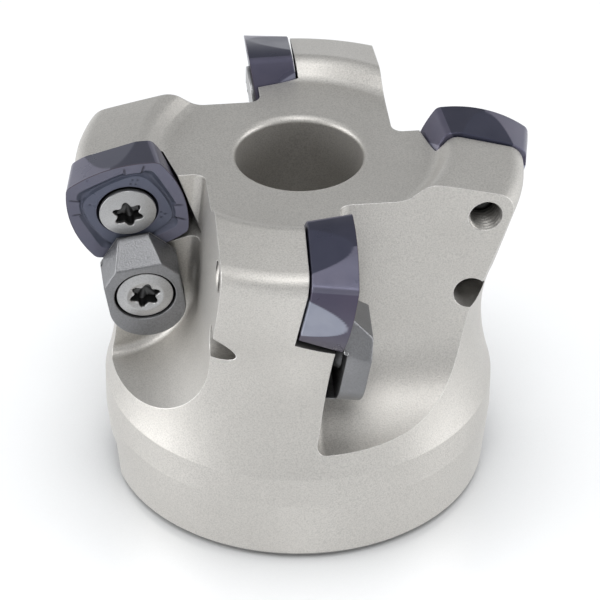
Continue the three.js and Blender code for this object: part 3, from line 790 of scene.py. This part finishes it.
@dataclass(frozen=True)
class Insert:
    """Square insert with bowed edges: flank with seating facets, land, groove, turned platform and hole.

    A tick is its turn from the corner in degrees and its two radii, and a mark is a dot's x and y.
    Tones of the flank go by side: inward, up, outward, down; these side tones are painted light and shade,
    and the facets' lighter tone is partly their ground finish.
    """

    sizes: MillSizes
    edge_radius: float = 17.0
    hone: float = 0.035
    edge_rows: tuple[tuple[float, float], ...] = ((0.05, 0.004), (0.0, 0.03))
    back_edge: float = 0.1
    flank_start: float = 0.12
    flank_second: float = 0.35
    flank_steps: int = 18
    hole_radius: float = 2.5
    hole_chamfer: float = 0.2
    mouth_radius: float = 4.1
    mouth_lip: float = 0.1
    mouth_drop: float = 0.05
    mouth_rim: float = 0.09
    cone_depth: float = 3.0
    cone_bow: float = 1.15
    land: float = 1.7
    land_ends: float = 1.25
    land_foot: float = 0.16
    land_rise: float = 0.15
    groove_depth: float = 0.42
    groove_waist: float = 0.55
    groove_least: float = 0.3
    groove_steepest: float = 0.4
    groove_lean: float = 0.62
    groove_rim: float = 0.08
    groove_entry: float = 8.0
    groove_fall: float = 0.02
    edge_inset: float = 0.06
    platform_rim: float = 0.1
    platform_drop: float = 0.06
    platform_half: float = 5.25
    platform_corner: float = 2.4
    platform_twist: float = 12.0
    ticks: tuple[tuple[float, float, float], ...] = ((11.0, 6.4, 8.25), (30.5, 6.1, 7.5))
    tick_blend_degrees: float = 2.5
    marks: tuple[tuple[float, float], ...] = (
        (2.27, 4.84), (2.91, 4.58), (1.82, 4.28), (2.44, 3.96),
        (-4.32, 2.79), (4.02, -1.94), (4.48, -2.5), (3.82, -2.86),
    )
    dent_half: float = 0.16
    dent_depth: float = 0.07
    tick_reach: float = 1.3
    tick_run_in: float = 0.15
    tick_run_out: float = 0.5
    mark_reach: float = 1.4
    mark_share: float = 0.9
    side_steps: int = 104
    corner_steps: int = 14
    smooth_degrees: float = 22.0
    land_tone: Colour = (0.115, 0.118, 0.15)
    platform_tone: Colour = (0.078, 0.09, 0.118)
    groove_tone: Colour = (0.075, 0.085, 0.11)
    # Painted shade: near black inside the screw hole and its cone
    bore_shade_tone: Colour = (0.02, 0.022, 0.03)
    # Painted light and shade: one tone for each side of the flank, lighter or darker as that side is lit
    flank_side_shades: tuple[Colour, ...] = (
        (0.06, 0.058, 0.08), (0.1, 0.098, 0.126), (0.055, 0.047, 0.07), (0.03, 0.03, 0.04),
    )
    # Ground facets: lighter by their own finish, with painted light and shade by side on top
    facet_finish_and_shades: tuple[Colour, ...] = (
        (0.2, 0.2, 0.245), (0.024, 0.026, 0.04), (0.32, 0.345, 0.4), (0.03, 0.03, 0.04),
    )
    facet_blend: float = 0.02
    # Painted shade on the inner half of the up side
    inner_half_shade: Colour = (0.02, 0.021, 0.032)
    edge_tone: Colour = (0.045, 0.03, 0.036)
    # Dark of the printed dots, and painted shade of the tick steps
    print_and_tick_shade: Colour = (0.008, 0.008, 0.01)

    def square(
        self, half: float, flat: float = math.inf, twist: float = 0.0, corner_radius: float = 1.2
    ) -> Array:
        """Square outline with bowed sides and round corners.

        Each side is an arc whose radius grows with the size, kept inside a plane at flat, and the
        corner arc is tangent to the two sides beside it.

        Args:
            half: Distance from the centre to the middle of a side.
            flat: Where the seating facets cut the sides.
            twist: Turn of the whole outline, in radians.
            corner_radius: Radius of the round corners.

        Returns:
            Points, x and y.
        """
        side_radius = self.edge_radius + half - self.sizes.insert_half
        inner = side_radius - corner_radius
        offset = side_radius - half
        corner = (math.sqrt(2 * inner**2 - offset**2) - offset) / 2
        sweep = math.atan2(corner, corner + offset)
        angle = np.linspace(-sweep, sweep, self.side_steps + 1)
        bowed = side_radius * directions(angle) - [offset, 0]
        side = np.minimum(bowed, [flat, math.inf])
        share = np.arange(1, self.corner_steps + 1) / (self.corner_steps + 1)
        bend = sweep + (math.pi / 2 - 2 * sweep) * share
        arc = corner + corner_radius * directions(bend)
        turns = twist + math.pi / 2 * np.arange(4)
        spin = np.array([[[math.cos(t), math.sin(t)], [-math.sin(t), math.cos(t)]] for t in turns])
        return (np.vstack([side, arc]) @ spin).reshape(-1, 2)

    def reach(self, outline: Array, angles: Array) -> Array:
        """Radius of a closed outline at each angle, read between its points."""
        at = np.arctan2(outline[:, 1], outline[:, 0])
        order = np.argsort(at)
        return np.interp(angles, at[order], np.hypot(*outline[order].T), period=TAU)

    def hole_rows(self) -> Iterator[tuple[float, float, Colour]]:
        """Gives radius, height and tone of each ring up the screw hole and its cone, which is painted dark
        as shade.
        """
        thick, drop, tone = self.sizes.insert_thick, self.platform_drop, self.bore_shade_tone
        yield self.hole_radius + self.hole_chamfer, -thick, tone
        yield self.hole_radius, -thick + self.hole_chamfer, tone
        yield self.hole_radius, -self.cone_depth, tone
        for share in np.linspace(0.1, 1.0, 7):
            radius = self.hole_radius + (self.mouth_radius - self.hole_radius) * share**self.cone_bow
            yield radius, -self.cone_depth + (self.cone_depth - drop - self.mouth_drop) * share, tone
        yield self.mouth_radius + self.mouth_rim, -drop, self.land_tone

    def face_rows(self, angles: Array, edge: Array) -> Iterator[tuple[Array, Array | float, Colour]]:
        """Gives radii, heights and tone of each ring over the platform, the groove, the land and the edge.

        The groove is a sine dip that leans to its inner side. It is narrower between the two ticks
        of a corner, and the land is widest at the middle of a side.

        Args:
            angles: Direction of each point, in radians.
            edge: Radius of the cutting edge at each point.
        """
        twist = math.radians(self.platform_twist)
        platform = self.reach(self.square(self.platform_half, math.inf, twist, self.platform_corner), angles)
        start, end = self.mouth_radius + self.mouth_lip, platform - self.platform_rim
        for share in np.linspace(0.04, 1.0, 11):
            yield start + (end - start) * share, -self.platform_drop, self.platform_tone
        span = 90 - (self.ticks[1][0] - self.ticks[0][0])
        along = (np.degrees(angles) - 45 - self.ticks[1][0]) % 90
        full = np.clip(np.minimum(along, span - along) / self.tick_blend_degrees, 0, 1)
        bulge = np.sin(math.pi * np.clip(along / span, 0, 1))
        land = (self.land_ends + (self.land - self.land_ends) * bulge) * edge / self.sizes.insert_half
        width = np.maximum(edge - land - platform, self.groove_least)
        width = width * (self.groove_waist + (1 - self.groove_waist) * full)
        deepest = np.minimum(self.groove_depth, self.groove_steepest * width)
        for share in np.linspace(0, 1, 15)[:-1]:
            sag = deepest * math.sin(math.pi * share**self.groove_lean)
            rim = self.groove_rim * min(1.0, self.groove_entry * share)
            level = -self.platform_drop - rim - self.groove_fall * share - sag
            yield platform + width * share, level, self.groove_tone
        start, end = platform + width, edge - self.edge_inset
        for share in np.linspace(0, 0.97, 15):
            yield start + (end - start) * share, self.land_rise * share - self.land_foot, self.land_tone
        for inset, drop in self.edge_rows:
            yield edge - inset, -drop, self.edge_tone

    def flank(self, depth: float) -> tuple[Array, Array]:
        """Ring of the flank at a depth below the rake face, with its tones.

        The bowed sides draw in with the relief angle, and the seating facets cut them off. The tone
        goes over to the facet's once the cut is facet_blend deep. The tones by side are painted light
        and shade, and the inner half of the up side is a dark painted shade.

        Args:
            depth: Depth below the rake face, in millimetres.

        Returns:
            Points, and a colour for each.
        """
        relief = math.tan(math.radians(self.sizes.relief_degrees))
        facet = math.tan(math.radians(self.sizes.seat_degrees))
        back_edge = self.back_edge if depth == self.sizes.insert_thick else 0.0
        half = self.sizes.insert_half - self.hone - depth * relief - back_edge
        row = self.square(half, self.sizes.insert_half - depth * facet - back_edge)
        off = np.hypot(*(self.square(half) - row).T)
        faceted = np.clip(off / self.facet_blend, 0, 1)[:, None]
        side, step = np.divmod(np.arange(len(row)), len(row) // 4)
        curved = np.array(self.flank_side_shades)[side]
        curved[(side == 1) & (step < self.side_steps // 2)] = self.inner_half_shade
        tones = curved + (np.array(self.facet_finish_and_shades)[side] - curved) * faceted
        return np.column_stack([row, np.full(len(row), -depth)]), tones

    def surface(self) -> tuple[Array, Array]:
        """Rings from the hole's back edge over the rake face and down the flank, with each point's tone."""
        outer = self.square(self.sizes.insert_half - self.hone)
        angles, edge = np.arctan2(outer[:, 1], outer[:, 0]), np.hypot(*outer.T)
        rings, tones = [], []
        for radius, height, tone in (*self.hole_rows(), *self.face_rows(angles, edge)):
            rings.append(turned_points(radius, angles, height))
            tones.append(np.broadcast_to(tone, (len(angles), 3)))
        top_rows = len(rings) - 1
        thick, first = self.sizes.insert_thick, self.flank_start
        for depth in (first, *np.linspace(self.flank_second, thick - first, self.flank_steps), thick):
            ring, tone = self.flank(depth)
            rings.append(ring)
            tones.append(tone)
        return self.dent(np.array(rings), np.array(tones, float), top_rows)

    def dent(self, points: Array, colours: Array, top_rows: int) -> tuple[Array, Array]:
        """Presses the radial ticks into the land and small dots into the platform.

        A tick is a narrow band about one direction between two radii, and a dot a round dip. Both
        darken the tone as they deepen: for a dot that is its print, for a tick a painted shade of its step.

        Args:
            points: Rings of points.
            colours: Tone of each point.
            top_rows: Count of the rings that are on the rake face.

        Returns:
            The points and tones with the dents in them.
        """
        x, y, z = points[..., 0], points[..., 1], points[..., 2]
        radius, angle = np.hypot(x, y), np.degrees(np.arctan2(y, x))
        depth = np.zeros_like(z)
        for corner in 45.0 + 90.0 * np.arange(4):
            for turn, start, end in self.ticks:
                apart = np.radians((angle - corner - turn + 180) % 360 - 180) * radius
                across = np.clip(self.tick_reach - np.abs(apart) / self.dent_half, 0, 1)
                inner = np.clip((radius - start) / self.tick_run_in, 0, 1)
                outer = np.clip((end - radius) / self.tick_run_out, 0, 1)
                depth = np.maximum(depth, across * (inner * outer))
        for mark_x, mark_y in self.marks:
            apart = np.hypot(x - mark_x, y - mark_y)
            dot = np.clip(self.mark_reach - apart / self.dent_half, 0, 1) * self.mark_share
            depth = np.maximum(depth, dot)
        depth[top_rows:] = 0
        points[..., 2] = z - self.dent_depth * depth
        share = depth[..., None]
        return points, colours * (1 - share) + np.array(self.print_and_tick_shade) * share

    def build(self, tooth: int) -> Piece:
        """Makes the insert of one tooth, with its tones, painted light and shade among them, as the
        attribute named zone.
        """
        rings, tones = self.surface()
        name = f"bowed_insert_{tooth + 1}"
        piece = solid(name, rings, True, self.sizes.insert_matrix(tooth), self.smooth_degrees)
        rgba = np.column_stack([tones.reshape(-1, 3), np.ones(tones.size // 3)])
        colour = piece.data.color_attributes.new("zone", "FLOAT_COLOR", "POINT")
        colour.data.foreach_set("color", rgba.astype(np.float32).ravel())
        return piece


class Seat(Enum):
    """Where a screw sits: its name's stem, height above the rake face, turn in degrees and head's dish."""

    INSERT = ("insert_screw", 0.44, 42.0, 0.0)
    CLAMP = ("clamp_screw", 4.05, 19.0, 0.28)

    def __init__(self, stem: str, height: float, turn: float, dish: float) -> None:
        """Names the seat's values."""
        self.stem = stem
        self.height = height
        self.turn = turn
        self.dish = dish


@dataclass(frozen=True)
class Screw:
    """Domed countersunk screw with a six-lobed socket and a cut thread."""

    sizes: MillSizes
    head_radius: float = 3.8
    rim: float = 0.5
    rim_rounding: float = 0.12
    dome: float = 0.5
    cone_slope: float = 0.527
    root_radius: float = 1.85
    crest_radius: float = 2.02
    length: float = 12.0
    tip_chamfer: float = 0.4
    pitch: float = 0.8
    thread_steps: int = 6
    thread_start: float = 0.2
    thread_end: float = 0.5
    socket_radius: float = 1.75
    socket_lobe: float = 0.33
    socket_lip: float = 0.1
    socket_shoulder: float = 0.16
    socket_floor: tuple[tuple[float, float], ...] = ((0.3, 1.904), (0.8, 1.7), (0.97, 1.53), (1.0, 0.3))
    dish_radius: float = 2.5
    columns: int = 96
    smooth_degrees: float = 32.0

    def dome_at(self, radius: Array | float, dish: float) -> Array | float:
        """Height of the head: a dome that falls with the square of the radius, dished near the socket."""
        fall = self.dome * (1 - (radius / self.head_radius) ** 2)
        share = (self.dish_radius - radius) / (self.dish_radius - self.socket_radius)
        return fall - dish * np.clip(share, 0, 1)

    def surface(self, dish: float) -> Array:
        """Rings from the socket's floor up its lobed wall, over the domed head and down to the tip.

        The socket's radius is its mean plus a lobe times the cosine of six turns, and the thread is
        a triangle wave of height over pitch.
        """
        angle = circle(self.columns)
        lobes = self.socket_radius + self.socket_lobe * np.cos(6 * angle)
        rows: list[tuple[Array | float, Array | float]] = []
        rows += [(share * lobes, -deep) for share, deep in self.socket_floor]
        rows.append((lobes, self.dome_at(lobes, dish) - self.socket_lip))
        rows.append((lobes + self.socket_lip, self.dome_at(lobes + self.socket_lip, dish)))
        start, end = lobes + self.socket_shoulder, self.head_radius - self.rim_rounding
        for share in np.linspace(0.0, 1.0, 14):
            radius = start + (end - start) * share
            rows.append((radius, self.dome_at(radius, dish)))
        for turn in np.radians(np.linspace(20, 90, 4)):
            drop = self.rim_rounding * (1 - math.cos(turn))
            rows.append((end + self.rim_rounding * math.sin(turn), self.dome_at(end, dish) - drop))
        rows.append((self.head_radius, -self.rim))
        cone_end = -self.rim - (self.head_radius - self.root_radius) / self.cone_slope
        rows.append((self.root_radius, cone_end))
        first, last = cone_end - self.thread_start, -self.length + self.thread_end
        for height in np.arange(first, last, -self.pitch / self.thread_steps):
            wave = 1 - np.abs(((height / self.pitch - angle / TAU) % 1.0) * 2 - 1)
            rows.append((self.root_radius + (self.crest_radius - self.root_radius) * wave, height))
        rows.append((self.root_radius, -self.length + self.tip_chamfer))
        rows.append((self.root_radius - self.tip_chamfer, -self.length))
        return np.array([turned_points(radius, angle, height) for radius, height in rows])

    def build(self, tooth: int, seat: Seat) -> Piece:
        """Makes one screw in its seat, with painted shade in the socket as a float attribute."""
        out, up = self.sizes.insert_radius, self.sizes.insert_up
        if seat is Seat.CLAMP:
            out, up = self.sizes.clamp_radius, up - self.sizes.clamp_below
        matrix = self.sizes.turned(tooth, math.radians(seat.turn), (-out, up, seat.height))
        name = f"{seat.stem}_lobed_{tooth + 1}"
        piece = solid(name, self.surface(seat.dish), False, matrix, self.smooth_degrees)
        # Painted shade: the socket's floor rings and the centre of its floor
        hollow_shade = np.zeros(len(piece.data.vertices), np.float32)
        hollow_shade[: len(self.socket_floor) * self.columns] = 1.0
        hollow_shade[-2] = 1.0
        piece.data.attributes.new("hollow_shade", "FLOAT", "POINT").data.foreach_set("value", hollow_shade)
        return piece


@dataclass(frozen=True)
class Clamp:
    """Clamp with a sloping nose, two side facets, a round end, an arch beneath it and a heel.

    The nose is its half width, its reach and its height at the end. The crease and the side are
    where the top's flat meets the nose slope and a side facet.
    """

    sizes: MillSizes
    half_width: float = 5.15
    top: float = 4.3
    end_centre: float = 2.2
    nose: tuple[float, float, float] = (2.03, 7.7, 0.85)
    nose_side: float = 3.85
    nose_corners: tuple[float, float] = (0.3, 0.5)
    tip_margin: float = 0.08
    crease: tuple[float, float] = (3.13, 5.1)
    side: tuple[float, float] = (4.96, 2.8)
    heel: float = -0.3
    heel_edge: float = -5.85
    arch: float = 0.9
    arch_start: float = 4.2
    arch_blend: float = 0.3
    pad: float = 0.3
    bore_radius: float = 4.1
    bore_depth: float = 0.75
    bore_rounding: float = 0.15
    shank_radius: float = 2.2
    cone_slope: float = 0.527
    hole_lift: float = 0.02
    rim_step: float = 0.1
    rim_drop: float = 0.04
    edge: float = 0.3
    back_edge: float = 0.12
    crease_blend: float = 0.07
    columns: int = 320
    smooth_degrees: float = 40.0

    def outline(self) -> Array:
        """Plan outline with soft nose corners, sampled at equal steps along its length."""
        angle = np.linspace(math.pi, TAU, 61)
        end = self.half_width * directions(angle) - [0, self.end_centre]
        tip, reach = self.nose[0] + self.tip_margin, self.nose[1]
        small, large = self.nose_corners
        corners = [(self.half_width, 0, 0), (self.half_width, self.nose_side, large), (tip, reach, small)]
        corners += [(-x, y, radius) for x, y, radius in reversed(corners)]
        line = np.vstack([end, rounded(corners, 8, False)[1:-1], end[:1]])
        length = np.concatenate([[0], np.cumsum(np.hypot(*np.diff(line, axis=0).T))])
        at = np.linspace(0, length[-1], self.columns, endpoint=False)
        return np.stack([np.interp(at, length, line[:, 0]), np.interp(at, length, line[:, 1])], axis=-1)

    def height(self, xy: Array) -> Array:
        """Top surface: the soft minimum of the flat, the nose slope and the two side facets.

        The soft minimum is minus k times the logarithm of the sum of exp(-height / k).
        """
        nose, crease, side = self.nose, (*self.crease, self.top), (*self.side, self.top)
        mirror = np.array([-1, 1, 1])
        planes = [np.array([nose * mirror, nose, crease]), np.array([nose, crease, side])]
        planes.append(planes[1] * mirror)
        levels = [np.full(xy.shape[:-1], self.top)]
        for plane in planes:
            a, b, c = np.linalg.solve(np.column_stack([plane[:, :2], np.ones(3)]), plane[:, 2])
            levels.append(a * xy[..., 0] + b * xy[..., 1] + c)
        stack = np.array(levels)
        low = stack.min(axis=0)
        return low - self.crease_blend * np.log(np.exp(-(stack - low) / self.crease_blend).sum(axis=0))

    def underside(self, xy: Array) -> Array:
        """Underside: the heel, the arch and the nose pad, joined by short smooth steps along y."""
        edges = np.array([self.heel_edge, self.arch_start])
        share = np.clip((xy[..., 1, None] - edges) / self.arch_blend + 0.5, 0, 1)
        rise = share * share * (3 - 2 * share)
        return self.heel + (self.arch - self.heel) * rise[..., 0] - (self.arch - self.pad) * rise[..., 1]

    def rows(self) -> Iterator[tuple[Array, Array | float]]:
        """Gives plan points and heights round the screw hole: up it, over the top, down the side, back."""
        line = self.outline()
        along = np.roll(line, -1, axis=0) - np.roll(line, 1, axis=0)
        inward = np.stack([-along[:, 1], along[:, 0]], axis=-1)
        inward /= np.linalg.norm(inward, axis=1)[:, None]
        unit = line / np.linalg.norm(line, axis=1)[:, None]
        shank, bore = unit * self.shank_radius, unit * self.bore_radius
        cone_top = self.top - self.bore_depth
        cone_end = cone_top - (self.bore_radius - self.shank_radius) / self.cone_slope
        yield shank, np.minimum(self.underside(shank) + self.hole_lift, cone_end)
        yield shank, cone_end
        yield bore, cone_top
        yield bore, self.top - self.bore_rounding
        rim = self.bore_radius + self.bore_rounding
        yield unit * (rim - self.rim_step), self.top - self.rim_drop
        inner = line + inward * self.edge
        for share in np.linspace(0, 1, 46):
            xy = unit * rim * (1 - share) + inner * share
            yield xy, self.height(xy)
        at_edge = self.height(inner)
        for turn in np.linspace(0, math.pi / 2, 7)[1:]:
            xy = line + inward * self.edge * (1 - math.sin(turn))
            yield xy, np.minimum(self.height(xy), at_edge) - self.edge * (1 - math.cos(turn))
        bottom = self.underside(line)
        for turn in np.linspace(0, math.pi / 2, 4):
            inset = inward * self.back_edge * (1 - math.cos(turn))
            yield line + inset, bottom + self.back_edge * (1 - math.sin(turn))
        for share in np.linspace(0, 1, 24)[1:]:
            xy = (line + inward * self.back_edge) * (1 - share) + shank * share
            yield xy, self.underside(xy)

    def build(self, tooth: int) -> Piece:
        """Makes one clamp."""
        rings = np.array([np.column_stack([xy, np.broadcast_to(z, len(xy))]) for xy, z in self.rows()])
        matrix = self.sizes.clamp_matrix(tooth)
        return solid(f"nose_clamp_{tooth + 1}", rings, True, matrix, self.smooth_degrees)


@dataclass(frozen=True)
class LiftSpring:
    """Coil spring round the clamp screw, from the bottom of its seat to the clamp's arch."""

    sizes: MillSizes
    mean_radius: float = 2.75
    wire_radius: float = 0.35
    turns: float = 3.25
    foot: float = -3.55
    head: float = 0.25
    steps: int = 120
    sides: int = 12
    smooth_degrees: float = 40.0

    def build(self, tooth: int) -> Piece:
        """Makes one spring: circles carried along a helix, square to it."""
        angle = TAU * self.turns * np.linspace(0, 1, self.steps)
        rise = (self.head - self.foot) / (TAU * self.turns)
        flat, cos, sin = 0 * angle, np.cos(angle), np.sin(angle)
        outward = turned_points(1.0, angle, 0.0)
        path = self.mean_radius * outward + np.stack([flat, flat, self.foot + rise * angle], axis=-1)
        tangent = np.stack([-self.mean_radius * sin, self.mean_radius * cos, rise + flat], axis=-1)
        tangent /= np.linalg.norm(tangent, axis=1)[:, None]
        up = np.cross(tangent, outward)
        around = circle(self.sides)[None, :, None]
        spokes = np.cos(around) * outward[:, None] + np.sin(around) * up[:, None]
        rings = path[:, None] + self.wire_radius * spokes
        matrix = self.sizes.clamp_matrix(tooth)
        return solid(f"coil_spring_{tooth + 1}", rings, False, matrix, self.smooth_degrees)

    def ends(self, tooth: int) -> tuple[tuple[float, ...], tuple[float, ...]]:
        """Where the spring rests on the body, and where it meets the clamp, in metres."""
        matrix = self.sizes.clamp_matrix(tooth)
        pair = place(np.array([[0, 0, self.foot], [0, 0, self.head]]), matrix) * MM
        return tuple(pair[0].tolist()), tuple(pair[1].tolist())


# Studio


@dataclass(frozen=True)
class Studio:
    """Floor, soft lamps, pale world and the photograph's camera.

    A lamp is its name, its spot and width in metres and its watts. The sky is pairs of height, from
    the horizon at 0 to overhead at 1, and brightness.
    """

    elevation: float = 35.399
    azimuth: float = -6.60
    roll: float = 0.319
    distance: float = 0.589997
    aim: float = 0.025
    focal_pixels: float = 4345.29
    shift_pixels: tuple[float, float] = (-1.546, -2.591)
    frame_pixels: float = 600.0
    sensor_mm: float = 36.0
    sky: tuple[tuple[float, float], ...] = (
        (0.0, 1.0), (0.28, 0.85), (0.46, 0.4), (0.64, 0.38), (0.86, 0.72), (1.0, 0.75),
    )
    sky_colour: Colour = (0.97, 0.985, 1.0)
    camera_side: float = 0.82
    side_range: tuple[float, float] = (-0.9, -0.2)
    floor_half: float = 3000.0
    floor_colour: Colour = (0.62, 0.625, 0.63)
    floor_glow: float = 0.45
    floor_glow_colour: Colour = (0.98, 0.99, 1.0)
    # Reach, fade range and samples of the floor's painted contact shadow
    painted_shadow_reach: float = 0.022
    painted_shadow_fade: tuple[float, float] = (0.3, 0.95)
    painted_shadow_samples: int = 12
    floor_roughness: float = 0.12
    floor_index: float = 1.9
    lamps: tuple[tuple[str, tuple[float, float, float], float, float], ...] = (
        ("left_softbox", (-0.6, -0.02, 0.2), 0.45, 2.1),
        ("right_softbox", (0.6, -0.12, 0.22), 0.45, 1.6),
        ("front_softbox", (-0.04, -0.4, 0.62), 0.3, 1.35),
        ("top_softbox", (0.02, -0.03, 0.78), 0.26, 0.35),
    )

    def stand_camera(self) -> None:
        """Stands the camera by its angles and distance, and shifts it as the photograph's frame is."""
        e, a, r = (math.radians(v) for v in (self.elevation, self.azimuth, self.roll))
        forward = Vector((-math.sin(a) * math.cos(e), math.cos(a) * math.cos(e), -math.sin(e)))
        right = Vector((math.cos(a), math.sin(a), 0))
        up = right.cross(forward)
        turned_right = math.cos(r) * right + math.sin(r) * up
        turned_up = -math.sin(r) * right + math.cos(r) * up
        data = bpy.data.cameras.new("camera")
        data.sensor_width = self.sensor_mm
        data.lens = self.focal_pixels / self.frame_pixels * data.sensor_width
        data.shift_x = -self.shift_pixels[0] / self.frame_pixels
        data.shift_y = self.shift_pixels[1] / self.frame_pixels
        data.clip_start = 0.01
        camera = add_object("camera", data)
        rotation = Matrix((turned_right, turned_up, -forward)).transposed().to_4x4()
        spot = Vector((0, 0, self.aim)) - forward * self.distance
        camera.matrix_world = Matrix.Translation(spot) @ rotation
        bpy.context.scene.camera = camera

    def lay_floor(self) -> None:
        """Lays a wide pale floor under the cutter, which glows everywhere but close to it, where the fading
        glow is a painted contact shadow.

        The glow shows to the camera, and to mirrored and passing rays, but lights nothing else.
        """
        half = self.floor_half
        corners = np.array([(-half, -half, 0), (half, -half, 0), (half, half, 0), (-half, half, 0)])
        floor = new_object("floor", corners, np.array([[0, 1, 2, 3]]))
        material = bpy.data.materials.new("pale_floor")
        nodes = Nodes(material)
        shader = nodes.shader(
            Base_Color=(*self.floor_colour, 1),
            Roughness=self.floor_roughness,
            IOR=self.floor_index,
            Emission_Color=(*self.floor_glow_colour, 1),
        )
        path = nodes.add("ShaderNodeLightPath").outputs
        # Painted shadow: ambient occlusion near the cutter fades the floor's glow
        around = nodes.add(
            "ShaderNodeAmbientOcclusion", samples=self.painted_shadow_samples, Distance=self.painted_shadow_reach
        )
        beyond_painted_shadow = nodes.ramp(around.outputs["AO"], *self.painted_shadow_fade)
        seen = nodes.combine("MULTIPLY", path["Is Camera Ray"], beyond_painted_shadow)
        mirrored = nodes.combine("MAXIMUM", path["Is Glossy Ray"], path["Is Transmission Ray"])
        shown = nodes.combine("MAXIMUM", seen, mirrored)
        nodes.join(nodes.ramp(shown, 0.0, 1.0, (0.0, self.floor_glow)), shader.inputs["Emission Strength"])
        floor.data.materials.append(material)
        floor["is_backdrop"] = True

    def hang_lamps(self) -> None:
        """Hangs the round soft lamps and aims them at the cutter."""
        for name, spot, size, watts in self.lamps:
            data = bpy.data.lights.new(name, "AREA")
            data.shape = "DISK"
            data.size = size
            data.energy = watts
            lamp = add_object(name, data)
            away = Vector(spot) - Vector((0, 0, self.aim))
            turn = away.to_track_quat("Z", "Y").to_matrix().to_4x4()
            lamp.matrix_world = Matrix.Translation(spot) @ turn

    def paint_sky(self) -> None:
        """Makes the pale world: a dim ring at middle height, and dimmer on the side behind the camera."""
        world = bpy.data.worlds.new("pale_world")
        bpy.context.scene.world = world
        nodes = Nodes(world)
        parts = nodes.add("ShaderNodeSeparateXYZ")
        nodes.join(nodes.add("ShaderNodeTexCoord").outputs["Generated"], parts.inputs[0])
        level = nodes.add("ShaderNodeValToRGB")
        level.color_ramp.interpolation = "EASE"
        stops = level.color_ramp.elements
        for _ in range(len(self.sky) - len(stops)):
            stops.new(0.5)
        for stop, (height, grey) in zip(stops, self.sky):
            stop.position = height
            stop.color = (grey, grey, grey, 1)
        nodes.join(parts.outputs["Z"], level.inputs["Fac"])
        side = nodes.ramp(parts.outputs["Y"], *self.side_range, (self.camera_side, 1.0))
        strength = nodes.combine("MULTIPLY", level.outputs["Color"], side)
        background = nodes.fill(nodes.tree.nodes["Background"], Color=(*self.sky_colour, 1))
        nodes.join(strength, background.inputs["Strength"])

    def build(self) -> None:
        """Sets the whole studio up."""
        self.stand_camera()
        self.lay_floor()
        self.hang_lamps()
        self.paint_sky()
        bpy.context.scene.view_settings.view_transform = "Standard"


def main() -> None:
    """Builds the studio and every piece of the cutter, and dresses them."""
    sizes = MillSizes()
    finishes = Finishes()
    Studio().build()
    body_steel, screw_steel = finishes.body.build(), finishes.screw.build()
    clamp_steel, spring_steel = finishes.clamp.build(), finishes.spring.build()
    carbide = finishes.insert.build()
    dress(CutterBody(sizes).build(), body_steel, "root", Slot.BODY, "cutter_body")
    for tooth in range(TEETH):
        number = tooth + 1
        dress(Insert(sizes).build(tooth), carbide, "root", Slot.CARBIDE, f"insert_{number}")
        screw = Screw(sizes)
        for seat in Seat:
            name = f"{seat.stem}_{number}"
            dress(screw.build(tooth, seat), screw_steel, name, Slot.SCREW, name)
        name = f"clamp_{number}"
        dress(Clamp(sizes).build(tooth), clamp_steel, name, Slot.CLAMP, name)
        spring = LiftSpring(sizes)
        coil = spring.build(tooth)
        coil.data.materials.append(spring_steel)
        start, end = spring.ends(tooth)
        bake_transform(coil)
        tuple(start)
        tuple(end)
        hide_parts(f"clamp_spring_{number}")
        log.info("%s: %d faces between root and %s", coil.name, len(coil.data.polygons), name)
    write_sizes()


def write_sizes() -> None:
    """Turns the CAD box and the dressed box into plain lists, in metres, and drops them."""
    plain = lambda box: [[float(v) for v in corner] for corner in box]
    {"cad": plain(CAD_BOX), "visual": plain(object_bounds())}


if __name__ == "__main__":
    main()
